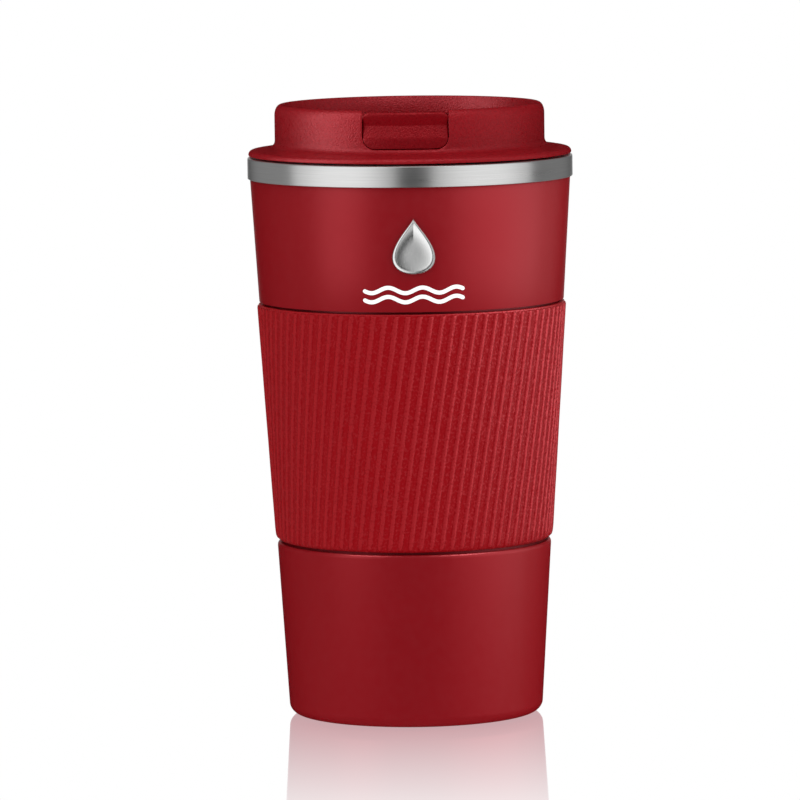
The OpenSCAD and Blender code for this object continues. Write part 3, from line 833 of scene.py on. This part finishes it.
def lid_body():
    """Lid moulding: wall, rolled rim, sunken deck, and the pocket and drinking wall at the front."""
    rim_x, inner_r, straight_z = WALL_R - RIM_W, WALL_R - RIM_WALL, 165.2
    wall = [(CAVITY_R, DECK_Z - DECK_T), (CAVITY_R, FLANGE_Z)] + lid_outer_profile()
    wall += [(WALL_R, POCKET_SIDE_FLOOR)]
    rim = [(WALL_R, straight_z)]
    rim += [(rim_x + RIM_W * x, LID_TOP - RIM_H + RIM_H * z) for x, z in arc(0, 0, 1, 0, 90, 14)]
    rim += arc(rim_x, LID_TOP - RIM_INNER_EDGE, RIM_INNER_EDGE, 90, 156, 5) + [(inner_r, SPOUT_TOP)]
    main = wall + rim + deck_side(inner_r)
    shared, top_inner = len(wall), len(wall + rim) - 1
    behind = [(POCKET_R, SPOUT_TOP), (inner_r, SPOUT_TOP), (SPOUT_R, SPOUT_TOP)] + deck_side(SPOUT_R)
    verts, faces = [], []

    def add(point):
        verts.append(point)
        return len(verts) - 1

    def side_point(r, z, t):
        gate = asin(NOTCH_HALF_W / r)
        return polar(r, gate + (2 * pi - 2 * gate) * t, z)

    turns = 250
    around = [0.75 * i / turns + 0.25 * (0.5 - 0.5 * cos(pi * i / turns)) for i in range(turns + 1)]
    side = [[add(side_point(r, z, t)) for r, z in main] for t in around]
    across = notch_stations()
    front = []
    for column, x in enumerate(across):
        known = {}
        if column in (0, len(across) - 1):
            gate = side[0] if column == 0 else side[-1]
            known = dict(enumerate(gate[:shared]))
            known[shared + 2] = gate[top_inner]
        points = notch_column(x, wall, behind)
        front.append([known[k] if k in known else add(point) for k, point in enumerate(points)])

    for columns, step in ((side, 1), (front, -1)):
        for a, b in zip(columns, columns[1:]):
            for k in range(len(a) - 1):
                faces.append((a[k], b[k], b[k + 1], a[k + 1])[::step])
    for column, gate in ((front[0], side[0]), (front[-1], side[-1])):
        back = column[shared:]
        faces.append(tuple(gate[shared - 1:top_inner + 1] + [back[1], back[0]]))
        faces.append(tuple(gate[top_inner:] + list(reversed(back[3:]))))
    for row in (-1, 0):
        edge = [ids[row] for ids in side] + [ids[row] for ids in reversed(front)]
        faces.append(tuple(dict.fromkeys(edge)))
    return build("lid_body", verts, faces)


def lid_edge_weight(angle, ends):
    """Bevel weight of the notch's edges: small at its outline, larger along the drinking wall's top."""
    if angle < radians(50):
        return 0.0
    above_floor = all(p.y < 0 and p.z > POCKET_FLOOR - 0.1 for p in ends)
    at_side = above_floor and all(abs(abs(p.x) - NOTCH_HALF_W) < 0.01 for p in ends)
    in_notch = all(abs(p.x) < NOTCH_HALF_W + 0.01 and p.y < 0 for p in ends)
    on_floor = in_notch and above_floor and all(hypot(p.x, p.y) > WALL_R - 0.2 for p in ends)
    if in_notch and all(abs(p.z - SPOUT_TOP) < 0.01 for p in ends):
        return 1.0
    return 0.45 if at_side or on_floor else 0.0


def hinge_ear(side):
    """Upright ear with rounded edges, on one side of the flap."""
    half = PIN_HALF_L - 3
    foot = DECK_Z - 1
    rings = []
    for out, inset in ((0, 0.25), (0.08, 0.08), (0.25, 0), (2.75, 0), (2.92, 0.08), (3, 0.25)):
        r = BARREL_R - inset
        outline = [(HINGE_Y + r, foot)] + arc(HINGE_Y, HINGE_Z, r, 0, 180, 28) + [(HINGE_Y - r, foot)]
        rings.append([(side * (half + out), y, z) for y, z in outline])
    return build("ear", *stack(rings, caps=True))


def hinge_turned(name, sections, sharp=35, steps=48):
    """Solid turned round the hinge axis, from sections (x, radius)."""
    turns = [2 * pi * j / steps for j in range(steps)]
    rings = [[(x, HINGE_Y + r * cos(a), HINGE_Z + r * sin(a)) for a in turns] for x, r in sections]
    return build(name, *stack(rings, caps=True), sharp=sharp)


def drink_prism(name, sections, steps=12, sharp=35):
    """Upright solid in the shape of the drink hole, from sections (z, how much wider on each side)."""
    rings = [slot_ring(DRINK_W + 2 * g, DRINK_D + 2 * g, z, DRINK_Y, steps) for z, g in sections]
    return build(name, *stack(rings, caps=True), sharp=sharp)


def vent_prism(name, sections, steps=40, sharp=35):
    """Upright round solid on the vent's axis, from sections (z, radius)."""
    rings = [circle_ring(r, z, VENT_Y, steps) for z, r in sections]
    return build(name, *stack(rings, caps=True), sharp=sharp)


VENT_BOSS = [(-1, 2.9), (0, 2.9), (0.3, 2.65), (1.0, 2.6), (1.2, 2.4)]    # height over the deck, radius


def lid_moulding():
    """The whole outer moulding, with ears and vent boss added and its holes cut."""
    lid = lid_body()
    mark_edges(lid, lid_edge_weight)
    round_marked_edges(lid, 0.6)
    boss = vent_prism("boss", [(DECK_Z + up, r) for up, r in VENT_BOSS], 48)
    combine(lid, "UNION", hinge_ear(1), hinge_ear(-1), boss)
    flare = [(-DECK_T - 1, 0), (-0.5, 0), (-0.2, 0.08), (-0.05, 0.25), (0.02, 0.5), (1, 0.5)]
    hole = drink_prism("hole", [(DECK_Z + up, wider) for up, wider in flare])
    vent = vent_prism("vent", [(DECK_Z - 4, VENT_R), (DECK_Z + 3, VENT_R)])
    return combine(lid, "DIFFERENCE", hole, vent, hinge_turned("bore", [(-20, PIN_R), (20, PIN_R)]))


def plug_ring():
    """Threaded plug ring with its gasket groove."""
    wall, spigot, web = 2.2, CAVITY_R - 0.1, 154.2
    profile = rounded([
        (CORE_R - wall, CORE_LOW.z, 0.2),
        (CORE_R, CORE_LOW.z, 0.9),
        (CORE_R, 151.9, 0.15),
        (38.2, 151.9, 0.1),
        (38.2, 154.1, 0.1),
        (CORE_R, 154.1, 0.15),
        (CORE_R, FLANGE_Z, 0),
        (spigot, FLANGE_Z, 0),
        (spigot, CORE_HIGH.z, 0.2),
        (spigot - 2.1, CORE_HIGH.z, 0.2),
        (spigot - 2.1, web, 0),
        (CORE_R - wall, web, 0),
    ], 22)
    plug = build("plug_ring", *lathe(profile, 256))
    return combine(plug, "UNION", *thread_ridges(CORE_R - 0.3, CORE_R + 1.5, 145.3))


def plug_floor():
    """Floor of the plug with the drink tube and the vent tube."""
    r, low, t, top = CORE_R - 2.2, CORE_LOW.z, 2.0, CORE_HIGH.z
    plate = [(0, low), (r - 0.4, low), (r, low + 0.3), (r, low + t), (0, low + t)]
    disc = build("plug_floor", *lathe(plate, 192))
    tube = drink_prism("tube", [(low + 1, 1.4), (top, 1.4)])
    combine(disc, "UNION", tube, vent_prism("vent_tube", [(low + 1, 2.6), (top, 2.6)]))
    flare = [(low - 0.5, 0.6), (low - 0.01, 0.6), (low + 0.1, 0.3), (low + 0.3, 0.1), (low + 0.6, 0)]
    flare += [(top + 1, 0)]
    vent = vent_prism("vent", [(z, VENT_R + wider) for z, wider in flare])
    return combine(disc, "DIFFERENCE", drink_prism("hole", flare), vent)


def lip_gasket():
    """Silicone ring with two soft lips."""
    groove, body, lip = 38.3, 40.3, GASKET_HIGH.x
    low, high = GASKET_LOW.z, GASKET_HIGH.z
    profile = rounded([
        (groove, low, 0.1), (body, low, 0.15), (lip, low + 0.2, 0.15), (lip, low + 0.6, 0.15),
        (body, low + 0.9, 0.08), (body, high - 0.9, 0.08), (lip, high - 0.6, 0.15), (lip, high - 0.2, 0.15),
        (body, high, 0.15), (groove, high, 0.1),
    ], 22)
    return build("lip_gasket", *lathe(profile, 224), sharp=60)


# ---------------------------------------------------------------- flap
SCOOP_DEPTH = 1.25
SCOOP_LOW, SCOOP_CREASE, SCOOP_HIGH = 162.4, 165.9, 168.6
FLAP_LIP = 0.8
PANEL_R = 34.8
ARM_FRONT_Y, ARM_FRONT_TOP, ARM_FRONT_UNDER = 36.0, 169.2, 167.0
SKIRT_IN = FLAP_HALF_W - 1.2
SKIRT_UNDER, SKIRT_FRONT, SKIRT_BACK = 164.6, 28.5, 1.0
FACE_LOW, FACE_HIGH = 163.2, 167.6
FACE_Z = [FLAP_BOTTOM + 0.25 + (FACE_LOW - FLAP_BOTTOM - 0.25) * i / 10 for i in range(11)]
FACE_Z += [164.2, 165.1, SCOOP_CREASE - 0.25, SCOOP_CREASE, SCOOP_CREASE + 0.2]
FACE_Z += [166.6, 167.1, FACE_HIGH, 168.1, SCOOP_HIGH - 0.1]


def flap_face_radius(z):
    """Radius of the flap's front at a height: flush with the lid, with the finger scoop pressed in."""
    if z < SCOOP_LOW:
        return lid_outer_radius(z)
    if z < SCOOP_CREASE:
        return WALL_R - SCOOP_DEPTH * (z - SCOOP_LOW) / (SCOOP_CREASE - SCOOP_LOW)
    if z < SCOOP_HIGH:
        return WALL_R - SCOOP_DEPTH * (SCOOP_HIGH - z) / (SCOOP_HIGH - SCOOP_CREASE)
    return WALL_R


def flap_fit(z, bottom, top):
    """Height z of the full flap side view, drawn in to a lower end at bottom and an upper end at top."""
    if z < FACE_LOW:
        return bottom + (z - FLAP_BOTTOM) * (FACE_LOW - bottom) / (FACE_LOW - FLAP_BOTTOM)
    if z > FACE_HIGH:
        return FACE_HIGH + (z - FACE_HIGH) * (top - FACE_HIGH) / (FLAP_TOP - FACE_HIGH)
    return z


def flap_panel(x, inset, bottom, top):
    """Front of the flap's side view at x, from its foot up over the lip."""
    foot_r = lid_outer_radius(bottom) - inset
    points = [on_front(x, foot_r - 0.25, bottom), on_front(x, foot_r - 0.06, bottom + 0.06)]
    for z in FACE_Z:
        fitted = flap_fit(z, bottom, top)
        points.append(on_front(x, flap_face_radius(fitted if z < FACE_LOW else z) - inset, fitted))
    for r, z in arc(WALL_R - FLAP_LIP, FLAP_TOP - FLAP_LIP, FLAP_LIP - inset, 0, 90, 8):
        raised = z + inset * (z - FLAP_TOP + FLAP_LIP) / FLAP_LIP
        points.append(on_front(x, r, flap_fit(raised, bottom, top)))
    return points + [on_front(x, PANEL_R + 0.2, top), on_front(x, PANEL_R, top - 0.12)]


def flap_ring(x, inset):
    """Closed side view of the flap at x, drawn in by inset where the flap's end is rounded."""
    bottom = FLAP_BOTTOM + corner_drop(x, FLAP_HALF_W, 3.0) + inset
    top = FLAP_TOP - corner_drop(x, FLAP_HALF_W, 1.6) - inset
    arm_drop = corner_drop(x, FLAP_HALF_W, 0.6) + inset * 0.4
    slope = atan2(ARM_FRONT_TOP - HINGE_Z - BARREL_R, ARM_FRONT_Y + HINGE_Y)

    def arm_top(y):
        return ARM_FRONT_TOP - tan(slope) * (y + ARM_FRONT_Y) - arm_drop

    behind = -sqrt((PANEL_R - 0.15) ** 2 - x * x)
    ring = flap_panel(x, inset, bottom, top)
    ring += [(x, behind, arm_top(behind) + 0.05), (x, behind + 0.2, arm_top(behind + 0.2))]
    ring += [(x, y, arm_top(y)) for y in (-28, -20, -12, -5, 0)]
    low_turn = degrees(asin((ARM_UNDER - HINGE_Z) / BARREL_R))
    barrel = arc(HINGE_Y, HINGE_Z, BARREL_R - arm_drop, 90 - degrees(slope), -180 - low_turn, 40)
    ring += [(x, y, z) for y, z in barrel]
    deep = inset + (SKIRT_UNDER if abs(x) > SKIRT_IN else ARM_UNDER)
    under = [(SKIRT_BACK, ARM_UNDER), (SKIRT_BACK - 0.01, deep), (0.01 - SKIRT_FRONT, deep),
             (-SKIRT_FRONT, ARM_UNDER), (-29.2, ARM_UNDER), (-30, ARM_FRONT_UNDER)]
    ring += [(x, y, z) for y, z in under]
    return ring + [on_front(x, PANEL_R, z) for z in (ARM_FRONT_UNDER, 165.4, FACE_LOW, bottom)]


def flap_cover():
    """Flip-up cover: curved front panel with a scoop, arm and hinge barrel, as one loop swept across."""
    half, end_r = FLAP_HALF_W, 0.3
    across = [half - end_r * (1 - cos(radians(a))) for a in (0, 22.5, 45, 67.5, 90)]
    across += [half - 3.0 * (1 - cos(radians(a))) for a in (32, 40, 48, 56, 64, 72, 81, 90)]
    across += [SKIRT_IN + 0.01, SKIRT_IN - 0.01]
    across = sorted(across, reverse=True)
    inner = [across[-1] * i / 9 for i in range(8, -9, -1)]
    columns = across + inner + [-x for x in reversed(across)]
    rings = [flap_ring(x, corner_drop(x, half, end_r)) for x in columns]
    flap = build("flap_cover", *stack(rings, caps=True), sharp=30)
    bore = hinge_turned("bore", [(x, PIN_R + 0.06) for x in (-half - 1, half + 1)])
    return combine(flap, "DIFFERENCE", bore, sharp=30)


def drink_bung():
    """Silicone bung with a rounded flange."""
    low, seat, top = PLUG_LOW.z, PLUG_LOW.z + 2.1, PLUG_HIGH.z
    steps = [(low, -1.2), (low + 0.12, -0.85), (low + 0.4, -0.62), (seat - 0.2, -0.6), (seat, -0.45),
             (seat, 1.3), (seat + 0.12, 1.5), (seat + 0.35, 1.6), (top, 1.6)]
    return drink_prism("drink_bung", steps, 20, 50)


def vent_pad():
    """Silicone pad with a rounded rim."""
    low, top, r = VENT_LOW.z, VENT_HIGH.z, VENT_HIGH.x
    return vent_prism("vent_pad", [(low, r - 0.5), (low + 0.08, r - 0.2), (low + 0.3, r), (top, r)], 64, 50)


def hinge_rod():
    """Steel pin with chamfered ends."""
    end, chamfer = PIN_HALF_L, 0.25
    sections = [(-end, PIN_R - chamfer), (chamfer - end, PIN_R)]
    sections += [(end - chamfer, PIN_R), (end, PIN_R - chamfer)]
    return hinge_turned("hinge_rod", sections, 30)


# ---------------------------------------------------------------- the pieces on their bodies
PAINTED = [
    place(outer_wall(), "cup", "body_paint", paint, "outer_shell"),
    place(printed_wave("printed_wave_upper", PRINT_Z + 1.25), "cup", "print_white", ink),
    place(printed_wave("printed_wave_lower", PRINT_Z - 1.25), "cup", "print_white", ink),
]
SLEEVE = [place(ribbed_sleeve(), "cup", "sleeve_silicone", silicone, "grip_sleeve")]
BADGE = [place(drop_badge(), "cup", "badge_chrome", badge_metal, "badge")]
METAL = [
    place(mouth_band(), "cup", "band_steel", band_steel, "rim_band"),
    place(drinking_cup(), "cup", "liner_steel", sheet_steel, "inner_liner"),
    place(base_cover(), "cup", "cap_steel", cap_steel, "base_cap"),
    place(hinge_rod(), "lid", "liner_steel", sheet_steel, "hinge_pin"),
]
PLASTIC = [
    place(foot_ring(), "cup", "pad_rubber", pad_rubber, "foot_pad"),
    place(lip_gasket(), "lid_seal", "seal_silicone", seal_rubber, "plug_gasket"),
    place(lid_moulding(), "lid", "lid_plastic", lid_plastic, "lid_shell"),
    place(plug_ring(), "lid", "core_plastic", core_plastic, "lid_core"),
    place(plug_floor(), "lid", "core_plastic", core_plastic, "core_base"),
    place(flap_cover(), "flap", "lid_plastic", flap_plastic, "flap"),
    place(drink_bung(), "flap", "seal_silicone", seal_rubber, "spout_plug"),
    place(vent_pad(), "flap", "seal_silicone", seal_rubber, "vent_plug"),
]

# The pieces inside the vacuum keep their CAD shape and get their own finish.
HIDDEN_FINISH = {
    "copper_foil": copper_sheet(),
    "base_plate": sheet_steel,
    "vacuum_seal": fired_bead(),
    "getter": pressed_pellet(),
    "getter_clip": sheet_steel,
    "badge_adhesive": foam_rubber,
}
for node_name, finish in HIDDEN_FINISH.items():
    METAL.append(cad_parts[node_name])
    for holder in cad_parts[node_name].material_slots:
        holder.link = "OBJECT"
        holder.material = finish


# ---------------------------------------------------------------- stage, light and camera
CAMERA_AZIMUTH = 1.95    # the camera stands this far round from the front, towards +X
FLOOR_REACH = 12.0


def stage_nodes(name):
    """New empty node material for the stage, and its nodes."""
    material = bpy.data.materials.new(name)
    material.use_nodes = True
    material.node_tree.nodes.clear()
    return material, Nodes(material.node_tree)


def glow(name, strength):
    """Plain white light-emitting material."""
    material, s = stage_nodes(name)
    light = s.node("ShaderNodeEmission", Color=(1, 1, 1, 1), Strength=strength)
    s.node("ShaderNodeOutputMaterial", light.outputs["Emission"])
    return material


def stage_mesh(name, verts, faces, material, **seen_by):
    """A stage object in metres. seen_by switches off the kinds of ray that must not meet it."""
    mesh = bpy.data.meshes.new(name)
    mesh.from_pydata(verts, [], faces)
    obj = bpy.data.objects.new(name, mesh)
    bpy.context.scene.collection.objects.link(obj)
    mesh.materials.append(material)
    for key, value in seen_by.items():
        setattr(obj, "visible_" + key, value)
    return obj


def pale_floor():
    """White floor that mirrors the mug, less and less further out, and cannot be seen from below. Its glow
    near the mug is tinted red, and shows where the mirror meets the mug as painted reflection.
    """
    material, s = stage_nodes("pale_floor")
    distance = s.length(s.node("ShaderNodeTexCoord").outputs["Object"])
    fade = s.spread(distance, 1.0, 0.0, 0.036, 0.24)
    # Painted reflection: the mirror takes less red than green and blue, and the glow that fills up the rest
    # to white keeps that red, so the mug's reflection gets its red partly from the floor's own glow.
    mirror = s.node("ShaderNodeVectorMath", fade, (0.48, 0.62, 0.60), operation="MULTIPLY").outputs["Vector"]
    glow_with_painted_reflection = s.node("ShaderNodeVectorMath", (1.0, 1.0, 1.0), mirror, operation="SUBTRACT").outputs["Vector"]
    white = s.node("ShaderNodeEmission", glow_with_painted_reflection).outputs["Emission"]
    gloss = s.node("ShaderNodeBsdfAnisotropic", mirror, Roughness=0.04).outputs["BSDF"]
    both = s.node("ShaderNodeAddShader", white, gloss).outputs["Shader"]
    below = s.node("ShaderNodeNewGeometry").outputs["Backfacing"]
    clear = s.node("ShaderNodeBsdfTransparent").outputs["BSDF"]
    s.node("ShaderNodeOutputMaterial", s.node("ShaderNodeMixShader", below, both, clear).outputs["Shader"])
    corners = [(x * FLOOR_REACH, y * FLOOR_REACH, 0) for x, y in ((-1, -1), (1, -1), (1, 1), (-1, 1))]
    return stage_mesh("floor", corners, [(0, 1, 2, 3)], material, glossy=False, diffuse=False, shadow=False)


def light_only(source, receivers):
    """Keeps a light source to the objects that it is meant for."""
    group = bpy.data.collections.new(source.name + "_lights")
    for receiver in receivers:
        group.objects.link(receiver)
    source.light_linking.receiver_collection = group


def ball(name, reach, strength, receivers=(), **seen_by):
    """Glowing sphere round the whole stage."""
    rows, turns = 12, 24
    rings = []
    for i in range(rows + 1):
        up = pi * i / rows
        rings.append(circle_ring(reach * sin(up), reach * cos(up), steps=turns))
    shine = glow(name + "_glow", strength)
    made = stage_mesh(name, *stack(rings), shine, shadow=False, transmission=False, **seen_by)
    if receivers:
        light_only(made, receivers)


def area_light(name, width, tall, radiance, place_at, rotation, receivers):
    """Flat lamp that the camera does not see. Radiance is the brightness of its face."""
    data = bpy.data.lights.new(name, "AREA")
    data.shape, data.size, data.size_y, data.energy = "RECTANGLE", width, tall, radiance * pi * width * tall
    lamp = bpy.data.objects.new(name, data)
    bpy.context.scene.collection.objects.link(lamp)
    lamp.location, lamp.rotation_euler = place_at, rotation
    lamp.visible_camera = False
    light_only(lamp, receivers)
    return lamp


def upright_light(name, azimuth, distance, height, width, tall, radiance, receivers):
    """Lamp that stands round the mug, at an azimuth in degrees counted from the camera towards +X."""
    turn = radians(azimuth + CAMERA_AZIMUTH)
    spot = (distance * sin(turn), -distance * cos(turn), height)
    return area_light(name, width, tall, radiance, spot, (pi / 2, 0, turn), receivers)


def softbox(name, azimuth, spread, strength, receivers, edge=0.5, low=0.0, high=0.75, distance=0.45):
    """Upright soft light that only gloss shows, dimmer at its sides. Spread is half its width in degrees."""
    width = 2 * distance * tan(radians(spread))
    lamp = upright_light(name, azimuth, distance, (low + high) / 2, width, high - low, strength, receivers)
    lamp.visible_diffuse = False
    lamp.data.use_nodes = True
    s = Nodes(lamp.data.node_tree)
    across = s.node("ShaderNodeSeparateXYZ", s.node("ShaderNodeNewGeometry").outputs["Parametric"])
    from_side = s.math("PINGPONG", across.outputs["X"], 0.5)
    level = s.node("ShaderNodeMapRange", from_side, 0.0, 0.4, edge, 1.0, interpolation_type="SMOOTHSTEP")
    s.feed(level.outputs["Result"], s.tree.nodes["Emission"].inputs["Strength"])


def high_box(name, azimuth, spread, strength, receivers, low=0.5):
    """Softbox high up, for the shine on rounded shoulders and edges."""
    softbox(name, azimuth, spread, strength, receivers, low=low, high=0.85, distance=0.35)


def side_fill(azimuth, strength, width=0.8, distance=0.9):
    """Even light on the painted wall from one side, which gloss does not show."""
    radiance = strength * pi * distance ** 2 / width ** 2
    lamp = upright_light("side_fill", azimuth, distance, 0.1, width, width, radiance, PAINTED)
    lamp.visible_glossy = False


def dim_world(level):
    """Low, even light from the rest of the room."""
    world = bpy.data.worlds.new("room")
    world.use_nodes = True
    background = world.node_tree.nodes["Background"]
    background.inputs["Color"].default_value = (1, 1, 1, 1)
    background.inputs["Strength"].default_value = level
    bpy.context.scene.world = world


def studio_camera():
    """Long lens a little to the right of the front, looking slightly down, rolled a touch."""
    distance, height, aim_z, side, roll = 1.9, 0.28, 0.0874, -0.00355, radians(0.7)
    spot, aim = Vector((side, -distance, height)), Vector((side, 0, aim_z))
    ahead = (aim - spot).normalized()
    right = ahead.cross(Vector((0, 0, 1))).normalized()
    up = right.cross(ahead)
    across = right * cos(roll) - up * sin(roll)
    upward = right * sin(roll) + up * cos(roll)
    pose = Matrix((across, upward, -ahead)).transposed().to_4x4()
    pose.translation = spot
    data = bpy.data.cameras.new("camera")
    data.lens, data.sensor_width, data.clip_end = 309.3, 36.0, 60.0
    camera = bpy.data.objects.new("camera", data)
    bpy.context.scene.collection.objects.link(camera)
    camera.matrix_world = Matrix.Rotation(radians(CAMERA_AZIMUTH), 4, "Z") @ pose
    bpy.context.scene.camera = camera


INSIDE = METAL[1:]       # every metal piece but the mouth band
PRODUCT = PAINTED + SLEEVE + BADGE + METAL + PLASTIC
floor = pale_floor()
ball("white_surround", 7.0, 1.0, diffuse=False, glossy=False)
ball("mirrored_sky", 17.0, 1.0, [floor] + INSIDE, camera=False, diffuse=False)
ball("room_fill", 19.0, 1.26, camera=False, glossy=False)
softbox("metal_left", -49, 40, 0.92, METAL, low=-0.5)
softbox("metal_right", 53, 39, 0.86, METAL, edge=0.6, low=-0.5)
softbox("metal_middle", 6, 11, 0.06, METAL)
softbox("metal_far_left", -116, 38, 0.22, METAL, low=-0.5)
softbox("metal_far_right", 122, 36, 0.18, METAL, low=-0.5)
softbox("badge_left", -28, 32, 1.1, BADGE, edge=0.45, low=-0.4)
softbox("badge_right", 38, 22, 0.6, BADGE, edge=0.4, low=-0.4)
softbox("badge_far_right", 96, 34, 0.5, BADGE, low=-0.4)
softbox("paint_left", -50, 20, 1.9, PAINTED)
softbox("paint_right", 66, 38, 1.75, PAINTED, low=-0.03)
softbox("paint_far_right", 112, 20, 0.3, PAINTED)
side_fill(98, 0.5)
side_fill(-98, 0.18)
softbox("sleeve_left", -60, 30, 0.12, SLEEVE)
softbox("sleeve_right", 76, 38, 2.9, SLEEVE)
softbox("lid_left", -71, 26, 2.7, PLASTIC)
softbox("lid_right", 74, 26, 0.36, PLASTIC)
high_box("high_front", 8, 42, 3.0, PLASTIC)
high_box("high_left_paint", -60, 20, 16.0, PAINTED, low=0.45)
high_box("high_right_paint", 62, 28, 18.0, PAINTED, low=0.45)
high_box("high_front_metal", 8, 42, 0.9, METAL + BADGE + SLEEVE)
softbox("back_light", 180, 22, 0.5, PAINTED + SLEEVE + METAL)
area_light("overhead", 1.6, 1.6, 0.08, (0, -0.2, 1.6), (0, 0, 0), PRODUCT)
dim_world(0.03)
studio_camera()
bpy.context.scene.view_settings.view_transform = "Standard"
